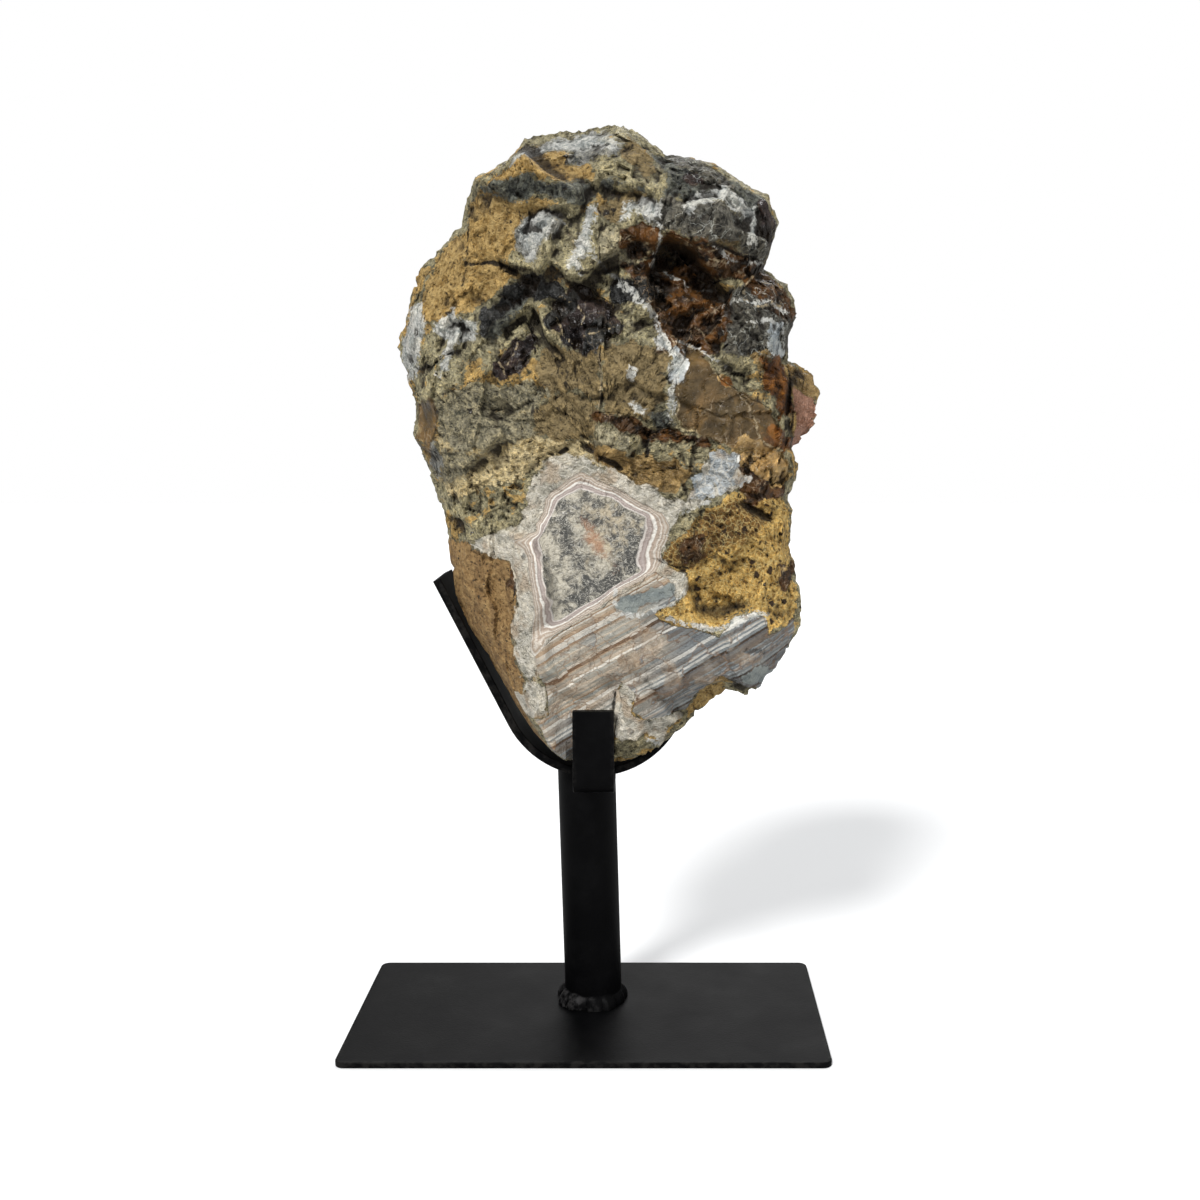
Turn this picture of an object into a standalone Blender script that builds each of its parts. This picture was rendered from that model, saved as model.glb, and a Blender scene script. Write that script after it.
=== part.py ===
"""A big broken agate held in a bent steel stand.

Metres, Z up. The clip and the banded face of the stone look along -Y, the origin is in
the middle of the underside of the base plate.
"""

import math

import bmesh
import bpy
import numpy as np

MM = 0.001

# Base plate
PLATE_WIDTH = 240 * MM
PLATE_DEPTH = 120 * MM
PLATE_THICKNESS = 3 * MM
PLATE_CORNER_RADIUS = 4.5 * MM

# Gap between pieces that touch
GAP = 0.3 * MM

# Strap that carries the stone, bent to a U from flat bar
STRAP_WIDTH = 40 * MM
STRAP_THICKNESS = 4 * MM
STRAP_CENTRE_X = 3.5 * MM
STRAP_FRONT_Y = -6.5 * MM
STRAP_BOTTOM_Z = 129.5 * MM
STRAP_OUTER_RADIUS = 48 * MM
STRAP_ARM_SLOPE = math.radians(63.5)
STRAP_ARM_LENGTH = 81.5 * MM
STRAP_BEND_STEPS = 14

# Post, a tube that leans a little, with its weld bead
POST_RADIUS = 15 * MM
POST_Y = STRAP_FRONT_Y + STRAP_WIDTH / 2
POST_FOOT_X = 1.7 * MM
POST_TOP_X = -1.2 * MM
POST_SIDES = 40
BEAD_HEIGHT = 6.5 * MM
BEAD_REACH = 4.2 * MM

# Clip in front of the stone, bent to an L from flat bar
CLIP_WIDTH = 20 * MM
CLIP_THICKNESS = 4 * MM
CLIP_CENTRE_X = 4.7 * MM
CLIP_FRONT_Y = -37 * MM
CLIP_BOTTOM_Z = 128.5 * MM
CLIP_TOP_Z = 170 * MM
CLIP_BEND_RADIUS = 6 * MM

# Stone, in millimetres. The outline is what shows from the front, clockwise from the peak,
# as (x, z). Below the middle its right side hangs in front of the strap.
OUTLINE = (
    (18, 451), (29, 446), (41, 437), (64, 432), (78, 422), (90, 417), (95, 404), (91, 390),
    (88, 382), (100, 375), (106, 362), (101, 351), (101, 338), (113, 332), (117, 320),
    (114, 307), (105, 296), (106, 283), (101, 270), (104, 264), (102, 246), (106, 232),
    (107, 208), (98, 192), (86, 177), (80, 172), (70, 176), (54, 163), (44, 153), (34, 145),
    (19, 139), (8, 135), (-10, 137.5), (-17, 142), (-27, 152), (-35, 164), (-47, 185),
    (-60, 206), (-66, 219), (-69, 246), (-72, 262), (-79, 284), (-86, 300), (-83, 315),
    (-92, 344), (-86, 368), (-80, 382), (-65, 398), (-59, 401), (-56, 415), (-51, 424),
    (-38, 431), (-28, 443), (-11, 446), (4, 448),
)
# Where the outline runs behind its front half: inside the strap
BACK_OUTLINE = (
    (18, 446), (58, 428), (86, 408), (88, 384), (101, 360), (104, 330), (102, 290), (98, 262),
    (91, 247), (80, 236), (74, 225), (60, 195), (45, 165), (36, 150), (22, 138.5), (4, 134),
    (-13, 138), (-27, 152), (-36, 165), (-50, 190), (-59, 209), (-65, 222), (-67, 246),
    (-78, 284), (-86, 330), (-80, 372), (-60, 397), (-50, 420), (-26, 438),
)
STONE_CENTRE = (8, 290)
STONE_STEP = 3
FRONT_RINGS = 62
BACK_RINGS = 26
FRONT_ROUNDING = 17
BACK_ROUNDING = 17
# Back face, ground flat and polished
POLISHED_Y = 46
# The widest ring of the stone lies this far back, nearer the front where it hangs over the strap
GIRTH_Y = 2
OVERHANG_GIRTH_Y = -17
BEHIND_GIRTH_Y = -9.5
# Share of the fine triangles that stay once flat places are thinned out
KEPT_TRIANGLES = 0.14

# Broken faces of the front: x, z, y in the middle, then how y grows to the right and upwards
FACES = (
    (-9, 431, -14, 0.0, 0.9), (28, 426, -20, 0.2, 0.8), (-18, 413, -37, 0.0, -0.3),
    (-30, 394, -33, -0.5, 0.2), (5, 393, -32, 0.1, 0.3), (22, 406, -27, 0.0, 0.5),
    (55, 411, -32, 0.1, 0.4), (79, 402, -28, 0.8, 0.0), (71, 386, -36, 0.2, -0.5),
    (18, 371, -27, -0.3, 0.3), (51, 367, -17, 0.0, 0.6), (86, 359, -27, 0.7, 0.2),
    (60, 350, -27, -0.3, 0.5), (83, 342, -31, 0.5, -0.1), (-65, 370, -20, -0.7, 0.5),
    (-73, 343, -21, -0.8, 0.0), (-40, 362, -20, -0.1, 0.5), (2, 356, -35, 0.2, 0.5),
    (-31, 340, -31, -0.1, 0.6), (-59, 341, -27, -0.4, 0.4), (-38, 323, -37, -0.1, -0.3),
    (-57, 304, -32, -0.5, 0.0), (-19, 304, -39, -0.1, 0.1), (14, 316, -42, 0.1, 0.2),
    (37, 299, -39, 0.2, 0.1), (30, 340, -36, 0.2, 0.4), (65, 325, -33, 0.35, 0.1),
    (91, 318, -24, 0.6, 0.0), (106, 317, -5, 0.6, 0.0), (77, 292, -30, 0.3, -0.3),
    (-69, 276, -20, -0.8, 0.0), (-42, 281, -31, -0.35, -0.1), (-10, 285, -38, -0.1, -0.1),
    (8, 252, -39, 0.0, -0.05), (-1, 204, -37, 0.0, -0.08), (3, 160, -33, 0.0, -0.08),
    (27, 222, -37, 0.05, -0.06), (52, 253, -32, 0.2, 0.1), (70, 230, -26, 0.1, -0.2),
    (97, 231, -22, 0.6, 0.0), (84, 203, -31, 0.35, -0.05), (56, 191, -35, 0.15, -0.07),
    (64, 174, -22, 0.2, -0.6), (32, 153, -27, 0.2, -0.3), (-55, 243, -20, -0.9, 0.0),
    (-39, 221, -24, -0.8, 0.0), (-28, 190, -24, -0.8, 0.0), (-17, 160, -25, -0.7, -0.1),
)
FACE_BLEND = 1.6
FACE_WANDER = 5
# Hollows and lumps: x, z, radius, depth
HOLLOWS = (
    (-47, 366, 7, 6), (-36, 361, 7, 7), (-27, 367, 6, 6), (60, 371, 11, 7), (36, 378, 9, 5),
    (-18, 399, 12, 4), (75, 236, 9, 4), (58, 240, 8, 4), (66, 219, 8, 3), (84, 246, 7, 3),
    (13, 180, 5, 5), (14, 164, 4, 4), (32, 157, 5, 4), (84, 381, 7, 6), (30, 327, 8, 3),
    (53, 250, 9, -5), (-44, 352, 9, -4), (66, 402, 8, -3), (-70, 318, 9, -4), (90, 344, 7, -3),
)
# Broken chips over all of the rough stone, calmer on the banded face: size and height
CHIPS = ((24, 2.6), (11, 1.3))
# The banded face is a flat break: its middle, half its width and height, and how calm it is
CALM_MIDDLE = (14, 205)
CALM_REACH = (62, 78)
CALM_SHARE = 0.75


def clear_scene():
    for old in list(bpy.data.objects):
        bpy.data.objects.remove(old)


def new_collection(name):
    made = bpy.data.collections.new(name)
    bpy.context.scene.collection.children.link(made)
    return made


def material(name, color, roughness, metallic=0.0):
    made = bpy.data.materials.new(name)
    made.use_nodes = True
    shader = made.node_tree.nodes["Principled BSDF"]
    shader.inputs["Base Color"].default_value = (*color, 1.0)
    shader.inputs["Roughness"].default_value = roughness
    shader.inputs["Metallic"].default_value = metallic
    return made


def finish(name, mesh, surface, collection):
    """Link a mesh to the collection as one named object with one material."""
    mesh.materials.append(surface)
    part = bpy.data.objects.new(name, mesh)
    collection.objects.link(part)
    return part


def round_edges(part, width, segments=2):
    bevel = part.modifiers.new("Rounded edges", "BEVEL")
    bevel.width = width
    bevel.segments = segments
    bevel.limit_method = "ANGLE"
    bevel.angle_limit = math.radians(40)
    return bevel


def bar_from_profile(name, profile, axis, start, width):
    """Mesh of a bar: a closed profile in a vertical plane, pulled along X or Y."""
    shape = bmesh.new()
    place = (lambda u, z: (start, u, z)) if axis == "X" else (lambda u, z: (u, start, z))
    face = shape.faces.new([shape.verts.new(place(u, z)) for u, z in profile])
    pulled = bmesh.ops.extrude_face_region(shape, geom=[face])
    moved = [v for v in pulled["geom"] if isinstance(v, bmesh.types.BMVert)]
    shift = (width, 0, 0) if axis == "X" else (0, width, 0)
    bmesh.ops.translate(shape, verts=moved, vec=shift)
    bmesh.ops.recalc_face_normals(shape, faces=shape.faces)
    mesh = bpy.data.meshes.new(name)
    shape.to_mesh(mesh)
    shape.free()
    return mesh


# Base plate
def base_plate(collection, surface):
    shape = bmesh.new()
    bmesh.ops.create_cube(shape, size=1)
    bmesh.ops.scale(shape, vec=(PLATE_WIDTH, PLATE_DEPTH, PLATE_THICKNESS), verts=shape.verts)
    bmesh.ops.translate(shape, vec=(0, 0, PLATE_THICKNESS / 2), verts=shape.verts)
    corners = [e for e in shape.edges if abs(e.verts[0].co.z - e.verts[1].co.z) > 0.001]
    bmesh.ops.bevel(shape, geom=corners, offset=PLATE_CORNER_RADIUS, segments=6, affect="EDGES", profile=0.5)
    mesh = bpy.data.meshes.new("base_plate")
    shape.to_mesh(mesh)
    shape.free()
    round_edges(finish("base_plate", mesh, surface, collection), 0.5 * MM)


# Strap
def strap_path(inset):
    """Points of the U, from one tip to the other, this far inside the outer face."""
    radius = STRAP_OUTER_RADIUS - inset
    centre_z = STRAP_BOTTOM_Z + STRAP_OUTER_RADIUS
    angles = np.linspace(-STRAP_ARM_SLOPE, STRAP_ARM_SLOPE, STRAP_BEND_STEPS + 1)
    bend = [(STRAP_CENTRE_X + radius * math.sin(a), centre_z - radius * math.cos(a)) for a in angles]
    run = STRAP_ARM_LENGTH * math.cos(STRAP_ARM_SLOPE)
    rise = STRAP_ARM_LENGTH * math.sin(STRAP_ARM_SLOPE)
    left_tip = (bend[0][0] - run, bend[0][1] + rise)
    right_tip = (bend[-1][0] + run, bend[-1][1] + rise)
    return [left_tip, *bend, right_tip]


def cradle_strap(collection, surface):
    profile = strap_path(0) + strap_path(STRAP_THICKNESS)[::-1]
    mesh = bar_from_profile("cradle_strap", profile, "Y", STRAP_FRONT_Y, STRAP_WIDTH)
    round_edges(finish("cradle_strap", mesh, surface, collection), 0.6 * MM)


# Post
def post(collection, helpers, surface):
    """Rings up the post: the lumpy bead at the foot, then a straight tube cut to fit the strap."""
    turn = np.arange(POST_SIDES) * math.tau / POST_SIDES
    lumps = 0.72 + 0.16 * np.sin(5 * turn + 1) + 0.14 * np.sin(11 * turn) + 0.25 * np.cos(turn - 3.7)
    foot_z = PLATE_THICKNESS + GAP
    top_z = STRAP_BOTTOM_Z + POST_RADIUS / 2
    rings = []
    for share in (0, 0.3, 0.62, 0.85, 1.0):
        reach = BEAD_REACH * math.cos(share * math.pi / 2) ** 0.7 * lumps
        height = foot_z + BEAD_HEIGHT * share * (0.75 + 0.35 * lumps)
        rings.append(post_ring(POST_RADIUS + reach, turn, height, POST_FOOT_X))
    rings.append(post_ring(POST_RADIUS, turn, top_z, POST_TOP_X))
    tube = finish("post", closed_rings("post", rings), surface, collection)
    cope = tube.modifiers.new("Cut to the strap", "BOOLEAN")
    cope.operation = "DIFFERENCE"
    cope.solver = "EXACT"
    cope.object = strap_hollow(helpers)


def post_ring(radius, turn, height, centre_x):
    x = centre_x + radius * np.cos(turn)
    y = POST_Y + radius * np.sin(turn)
    return np.stack([x, y, np.broadcast_to(height, x.shape)], axis=1)


def strap_hollow(helpers):
    """Cutter: all that lies inside the U or within a gap of its outer face."""
    mesh = bar_from_profile("strap_hollow", strap_path(-GAP), "Y", STRAP_FRONT_Y - 0.01, STRAP_WIDTH + 0.02)
    cutter = bpy.data.objects.new("strap_hollow", mesh)
    helpers.objects.link(cutter)
    cutter.hide_render = True
    cutter.display_type = "WIRE"
    return cutter


def closed_rings(name, rings):
    """Mesh of rings of points joined one to the next, with the first and last ring filled."""
    count = len(rings[0])
    here = np.arange(count)
    there = (here + 1) % count
    faces = []
    for level in range(len(rings) - 1):
        low, high = level * count, (level + 1) * count
        faces += np.stack([low + here, low + there, high + there, high + here], axis=1).tolist()
    faces.append(here[::-1].tolist())
    faces.append((here + (len(rings) - 1) * count).tolist())
    mesh = bpy.data.meshes.new(name)
    mesh.from_pydata(np.concatenate(rings).tolist(), [], faces)
    return mesh


# Clip
def front_clip(collection, surface):
    """An L: up in front of the stone, back under it to the edge of the strap."""
    back_y = STRAP_FRONT_Y - GAP
    outer = bend_arc(CLIP_BEND_RADIUS)
    inner = bend_arc(CLIP_BEND_RADIUS - CLIP_THICKNESS)
    inner_y = CLIP_FRONT_Y + CLIP_THICKNESS
    inner_z = CLIP_BOTTOM_Z + CLIP_THICKNESS
    profile = [(CLIP_FRONT_Y, CLIP_TOP_Z), *outer, (back_y, CLIP_BOTTOM_Z), (back_y, inner_z)]
    profile += [*inner[::-1], (inner_y, CLIP_TOP_Z)]
    start = CLIP_CENTRE_X - CLIP_WIDTH / 2
    mesh = bar_from_profile("front_clip", profile, "X", start, CLIP_WIDTH)
    round_edges(finish("front_clip", mesh, surface, collection), 0.8 * MM)


def bend_arc(radius):
    centre_y = CLIP_FRONT_Y + CLIP_BEND_RADIUS
    centre_z = CLIP_BOTTOM_Z + CLIP_BEND_RADIUS
    angles = np.linspace(0, math.pi / 2, 6)
    return [(centre_y - radius * math.cos(a), centre_z - radius * math.sin(a)) for a in angles]


# Stone
def along(outline, step):
    """Points on a closed outline, its corners kept and each side cut into even steps."""
    corners = np.array(outline, float)
    points = []
    for a, b in zip(corners, np.roll(corners, -1, axis=0)):
        count = max(1, round(math.dist(a, b) / step))
        points.append(a + (b - a) * (np.arange(count) / count)[:, None])
    return np.concatenate(points)


def reach_at(outline, turn):
    """Distance from the stone's centre to a closed outline in each direction."""
    ring = along(outline, 1.0) - STONE_CENTRE
    angles = np.arctan2(ring[:, 1], ring[:, 0])
    order = np.argsort(angles)
    return np.interp(turn, angles[order], np.hypot(ring[:, 0], ring[:, 1])[order], period=math.tau)


def lattice(i, j, k, seed):
    """A repeatable value from -1 to 1 for every whole-number place."""
    n = (i * 73856093) ^ (j * 19349663) ^ (k * 83492791) ^ (seed * 50331653)
    n = ((n ^ (n >> 13)) * 1274126177) & 0xFFFFFFFF
    return ((n ^ (n >> 16)) & 0xFFFF) / 32767.5 - 1


def smooth_noise(points, size, seed):
    """Soft lumps from -1 to 1: lattice values blended along x, y and z."""
    place = points / size
    low = np.floor(place).astype(np.int64)
    part = place - low
    part = part * part * (3 - 2 * part)
    total = 0
    for corner in np.ndindex(2, 2, 2):
        weight = np.prod(np.where(corner, part, 1 - part), axis=-1)
        total = total + weight * lattice(*(low + corner).T, seed)
    return total


def chips(points, size, seed):
    """Flat chips at random tilts, from -1 to 1: each place belongs to the nearest of scattered seeds."""
    place = points / size
    cell = np.floor(place).astype(np.int64)
    best = np.full(len(points), 9.0)
    value = np.zeros(len(points))
    for corner in np.ndindex(3, 3, 3):
        near = cell + corner - 1
        seeds = near + 0.5 + 0.4 * np.stack([lattice(*near.T, seed + n) for n in range(3)], axis=1)
        tilt = np.stack([lattice(*near.T, seed + n) for n in range(3, 6)], axis=1)
        away = place - seeds
        distance = np.linalg.norm(away, axis=1)
        height = 0.6 * lattice(*near.T, seed + 6) + 0.8 * (tilt * away).sum(axis=1)
        closer = distance < best
        best = np.where(closer, distance, best)
        value = np.where(closer, height, value)
    return value


def broken_front(x, z):
    """Depth of the broken front: the nearest face wins, and neighbours meet in a short step."""
    flat = np.stack([x, np.zeros_like(x), z], axis=1)
    wandered_x = x + FACE_WANDER * smooth_noise(flat, 13, 1)
    wandered_z = z + FACE_WANDER * smooth_noise(flat, 13, 2)
    faces = np.array(FACES, float)
    dx = x[:, None] - faces[:, 0]
    dz = z[:, None] - faces[:, 1]
    away = np.hypot(wandered_x[:, None] - faces[:, 0], wandered_z[:, None] - faces[:, 1])
    weight = np.exp((away.min(axis=1, keepdims=True) - away) / FACE_BLEND)
    depth = faces[:, 2] + faces[:, 3] * dx + faces[:, 4] * dz
    y = (weight * depth).sum(axis=1) / weight.sum(axis=1)
    for cx, cz, radius, deep in HOLLOWS:
        y = y + deep * np.exp(-((x - cx) ** 2 + (z - cz) ** 2) / radius**2)
    return y


def calm(x, z):
    """How calm the surface is: 0 on rough rock, CALM_SHARE on the banded face."""
    across = ((x - CALM_MIDDLE[0]) / CALM_REACH[0]) ** 2
    up = ((z - CALM_MIDDLE[1]) / CALM_REACH[1]) ** 2
    return CALM_SHARE * np.clip(2.5 * (1 - across - up), 0, 1)


def overhang(turn):
    """1 where the stone hangs in front of the strap's right arm, 0 elsewhere."""
    low, high, soft = math.radians(-91), math.radians(-26), math.radians(7)
    rise = np.clip((turn - low) / soft, 0, 1)
    fall = np.clip((high - turn) / soft, 0, 1)
    return np.minimum(rise, fall)


def rounded(distance, radius):
    """Goes from 0 at an edge to 1 a radius inside it, along a blunt curve."""
    share = np.clip(distance / radius, 0, 1)
    return (1 - (1 - share) ** 1.7) ** (1 / 1.7)


def agate(collection, surface):
    """Rings from the middle of the broken front, out to the girth, and in to the polished back."""
    edge = along(OUTLINE, STONE_STEP)
    offset = edge - STONE_CENTRE
    turn = np.arctan2(offset[:, 1], offset[:, 0])
    front_reach = np.hypot(offset[:, 0], offset[:, 1])
    back_reach = reach_at(BACK_OUTLINE, turn)
    hung = overhang(turn)
    girth = GIRTH_Y + (OVERHANG_GIRTH_Y - GIRTH_Y) * hung
    behind = GIRTH_Y + 6 + (BEHIND_GIRTH_Y - GIRTH_Y - 6) * hung
    outward = np.stack([np.cos(turn), np.zeros_like(turn), np.sin(turn)], axis=1)
    rings = []
    for share in np.linspace(0, 1, FRONT_RINGS)[1:]:
        reach = front_reach * (1 - (1 - share) ** 1.35)
        ring = ring_at(reach, outward, girth)
        inward = rounded(front_reach - reach, FRONT_ROUNDING)
        ring[:, 1] += (broken_front(ring[:, 0], ring[:, 2]) - girth) * inward
        rings.append(behind_clip(chipped_front(ring, outward, inward[:, None])))
    for share in np.linspace(0, 1, BACK_RINGS):
        inset = BACK_ROUNDING * share**2
        depth = rounded(np.full_like(turn, inset), BACK_ROUNDING)
        ring = ring_at(back_reach - inset, outward, behind + (POLISHED_Y - behind) * depth)
        rings.append(chipped_side(ring, outward))
    mesh = closed_rings("agate", [ring * MM for ring in rings])
    stone = finish("agate", mesh, surface, collection)
    thin = stone.modifiers.new("Fewer triangles", "DECIMATE")
    thin.ratio = KEPT_TRIANGLES


def ring_at(reach, outward, y):
    ring = outward * reach[:, None]
    ring[:, 0] += STONE_CENTRE[0]
    ring[:, 1] = y
    ring[:, 2] += STONE_CENTRE[1]
    return ring


def chipped_front(ring, outward, inward):
    """Push the front in and out by chips: along Y in the middle, only inwards at the edge."""
    bump = sum(high * chips(ring, size, seed) for seed, (size, high) in zip((10, 30), CHIPS))
    bump = (bump * (1 - calm(ring[:, 0], ring[:, 2])))[:, None]
    ahead = np.array([0, -1, 0])
    return ring + ahead * bump * inward - outward * np.abs(bump) * 0.5 * (1 - inward)


def chipped_side(ring, outward):
    """Chip the sides inwards, less and less towards the polished back."""
    bump = sum(high * (1 + chips(ring, size, seed)) for seed, (size, high) in zip((10, 30), CHIPS))
    fade = np.clip((POLISHED_Y - ring[:, 1]) / 12, 0, 1) * np.clip((ring[:, 1] + 9) / 12, 0, 1)
    return ring - outward * (bump * fade)[:, None]


def behind_clip(ring):
    """Keep the points behind the clip's inner face, less and less strictly away from it."""
    seat = (CLIP_FRONT_Y + CLIP_THICKNESS + GAP) / MM
    beside = np.abs(ring[:, 0] - CLIP_CENTRE_X / MM) - CLIP_WIDTH / MM / 2 - 5
    above = ring[:, 2] - CLIP_TOP_Z / MM - 5
    clear = np.maximum(np.maximum(beside, above), 0)
    made = ring.copy()
    made[:, 1] = np.maximum(ring[:, 1], seat + 0.5 - 0.7 * clear)
    return made


def main():
    clear_scene()
    collection = new_collection("agate_on_stand")
    helpers = new_collection("cutters")
    steel = material("painted_steel", (0.012, 0.012, 0.013), 0.5)
    rock = material("agate_rock", (0.33, 0.24, 0.13), 0.6)
    base_plate(collection, steel)
    post(collection, helpers, steel)
    cradle_strap(collection, steel)
    front_clip(collection, steel)
    agate(collection, rock)


main()
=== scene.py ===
"""Dresses the agate and its stand: broken stone with a banded face, and matt black steel."""

import math

import bpy
import numpy as np
from bpy.props import FloatProperty, FloatVectorProperty, PointerProperty
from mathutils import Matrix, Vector


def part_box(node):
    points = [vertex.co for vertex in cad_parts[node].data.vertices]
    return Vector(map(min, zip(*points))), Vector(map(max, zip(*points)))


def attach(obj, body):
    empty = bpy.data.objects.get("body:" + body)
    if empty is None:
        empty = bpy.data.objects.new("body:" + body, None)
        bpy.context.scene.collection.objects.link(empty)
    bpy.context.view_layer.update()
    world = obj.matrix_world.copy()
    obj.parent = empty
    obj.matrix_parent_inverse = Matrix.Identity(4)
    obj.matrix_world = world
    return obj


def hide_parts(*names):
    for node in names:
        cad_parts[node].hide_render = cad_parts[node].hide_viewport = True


bl_info = {
    "name": "Agate on a Stand",
    "version": (1, 0, 0),
    "blender": (4, 5, 0),
    "location": "View3D > Sidebar > Agate",
    "description": "Builds a broken banded agate on a black steel stand",
    "category": "Add Mesh",
}

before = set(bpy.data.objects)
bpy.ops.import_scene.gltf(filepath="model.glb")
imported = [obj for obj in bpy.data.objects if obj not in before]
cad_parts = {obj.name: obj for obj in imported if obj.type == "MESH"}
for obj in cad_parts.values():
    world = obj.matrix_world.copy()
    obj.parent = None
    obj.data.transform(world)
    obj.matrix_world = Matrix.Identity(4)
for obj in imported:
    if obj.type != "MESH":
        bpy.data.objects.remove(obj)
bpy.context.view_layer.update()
MM = 0.001

# Places on the stand, read from the solids
PLATE_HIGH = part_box("base_plate")[1]
POST_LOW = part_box("post")[0]
STRAP_LOW, STRAP_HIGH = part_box("cradle_strap")
CLIP_LOW, CLIP_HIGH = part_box("front_clip")

# Sizes of the solids that their boxes don't tell
BAR_THICKNESS = 4 * MM
STONE_GAP = 0.3 * MM
POST_RADIUS = 15 * MM
POST_FOOT_X = 1.7 * MM
POST_TOP_X = -1.2 * MM
STRAP_MIDDLE_X = 3.5 * MM
STRAP_BEND = 48 * MM
STRAP_ARM = 81.5 * MM
STRAP_SLOPE = math.radians(63.5)
CLIP_BEND = 6 * MM

# How finely the stand is made, and where its paint wears and a painted highlight lightens its edges
WELD_HEIGHT = 6.5 * MM
WELD_RINGS = 14
POST_RINGS = 24
POST_SIDES = 96
STRAP_ARM_RINGS = 24
STRAP_BEND_RINGS = 28
CLIP_LEG_RINGS = 16
CLIP_FOOT_RINGS = 10
CLIP_BEND_RINGS = 8
PLATE_INSETS = (40 * MM, 12 * MM, 3 * MM)
RIM_RINGS_WITH_WEAR_AND_HIGHLIGHT = (3, 12)
PLATE_WEAR_AND_HIGHLIGHT = 0.8
EDGE_WEAR_AND_HIGHLIGHT_REACH = 1.2 * MM
FLAT_STRIP = 1.6 * MM
SHARP_EDGE = math.radians(30)

# All sizes of the stone from here on are in millimetres
# Its outline from the front, clockwise from the peak, as (x, z)
OUTLINE = (
    (18, 451), (29, 446), (41, 437), (64, 432), (78, 422), (90, 417), (95, 404), (91, 390),
    (88, 382), (100, 375), (106, 362), (101, 351), (101, 338), (113, 332), (117, 320), (114, 307),
    (105, 296), (106, 283), (101, 270), (104, 264), (102, 246), (106, 232), (107, 208), (98, 192),
    (86, 177), (80, 172), (70, 176), (54, 163), (44, 153), (34, 145), (19, 139), (8, 135),
    (-10, 137.5), (-17, 142), (-27, 152), (-35, 164), (-47, 185), (-60, 206), (-66, 219),
    (-69, 246), (-72, 262), (-79, 284), (-86, 300), (-83, 315), (-92, 344), (-86, 368), (-80, 382),
    (-65, 398), (-59, 401), (-56, 415), (-51, 424), (-38, 431), (-28, 443), (-11, 446), (4, 448),
)
# The same behind the front half, where the stone stays inside the strap
BACK_OUTLINE = (
    (18, 446), (58, 428), (86, 408), (88, 384), (101, 360), (104, 330), (102, 290), (98, 262),
    (91, 247), (80, 236), (74, 225), (60, 195), (45, 165), (36, 150), (22, 138.5), (4, 134),
    (-13, 138), (-27, 152), (-36, 165), (-50, 190), (-59, 209), (-65, 222), (-67, 246), (-78, 284),
    (-86, 330), (-80, 372), (-60, 397), (-50, 420), (-26, 438),
)
STONE_CENTRE = (8, 290)
STONE_STEP = 1.5
FRONT_RINGS = 118
SIDE_RINGS = 30
BACK_RINGS = 10
ROUNDING = 17
ROUNDING_POWER = 1.7
RING_CROWDING = 1.35
POLISHED_Y = 46
GIRTH_Y = 2
GIRTH_WANDER = 5
GIRTH_STEADY_Z = 215
BEHIND_GIRTH = 6
OVERHANG_GIRTH_Y = -17
OVERHANG_BEHIND_Y = -9.5
CHIPPED_FROM_Y = -9
CHIP_FADE = 12
# Where the stone hangs in front of the strap's arm: first and last turn, and the fade, in degrees
OVERHANG = (-91, -26, 7)
CLIP_CLEARANCE = 5
CLIP_SEAT = 0.5
CLIP_EASE = 0.7

# Broken faces of the front: x, z, y in the middle, then how y grows to the right and upwards
FACES = (
    (-9, 431, -14, 0.0, 0.9), (28, 426, -20, 0.2, 0.8), (-18, 413, -37, 0.0, -0.3),
    (-30, 394, -33, -0.5, 0.15), (5, 393, -32, 0.1, 0.3), (22, 406, -27, 0.0, 0.5),
    (55, 411, -32, 0.1, 0.4), (79, 402, -28, 0.8, 0.0), (71, 386, -36, 0.2, -0.5),
    (18, 371, -27, -0.3, 0.3), (51, 367, -21, 0.0, 0.6), (86, 359, -27, 0.7, 0.2),
    (60, 350, -27, -0.3, 0.5), (83, 342, -31, 0.5, -0.1), (-65, 370, -20, -0.7, 0.5),
    (-73, 343, -21, -0.8, 0.0), (-40, 362, -30, -0.1, 0.15), (2, 356, -36, 0.2, 0.25),
    (-31, 340, -31, -0.1, 0.6), (-59, 341, -27, -0.4, 0.4), (-38, 323, -37, -0.1, -0.3),
    (-57, 304, -32, -0.5, 0.0), (-19, 304, -39, -0.1, 0.1), (14, 316, -42, 0.1, 0.2),
    (37, 299, -38, 0.15, 0.03), (30, 340, -36, 0.2, 0.4), (65, 325, -33, 0.35, 0.1),
    (91, 318, -24, 0.6, 0.0), (106, 317, -5, 0.6, 0.0), (77, 292, -30, 0.3, -0.3),
    (-69, 276, -20, -0.8, 0.0), (-42, 281, -31, -0.35, -0.05), (-10, 285, -38.5, -0.1, 0.0),
    (8, 252, -39, 0.0, -0.05), (-1, 204, -37, 0.0, -0.08), (3, 160, -33, 0.0, -0.08),
    (27, 222, -37, 0.05, -0.06), (52, 253, -34, 0.15, -0.05), (70, 230, -26, 0.1, -0.2),
    (97, 231, -22, 0.6, 0.0), (84, 203, -31, 0.35, -0.05), (56, 191, -35, 0.15, -0.07),
    (64, 174, -22, 0.2, -0.6), (32, 153, -27, 0.2, -0.3), (-55, 243, -21, -0.75, -0.11),
    (-39, 221, -30.5, -0.75, -0.11), (-32, 190, -32.3, -0.75, -0.11),
    (-25, 163, -34.5, -0.75, -0.11),
)
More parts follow.
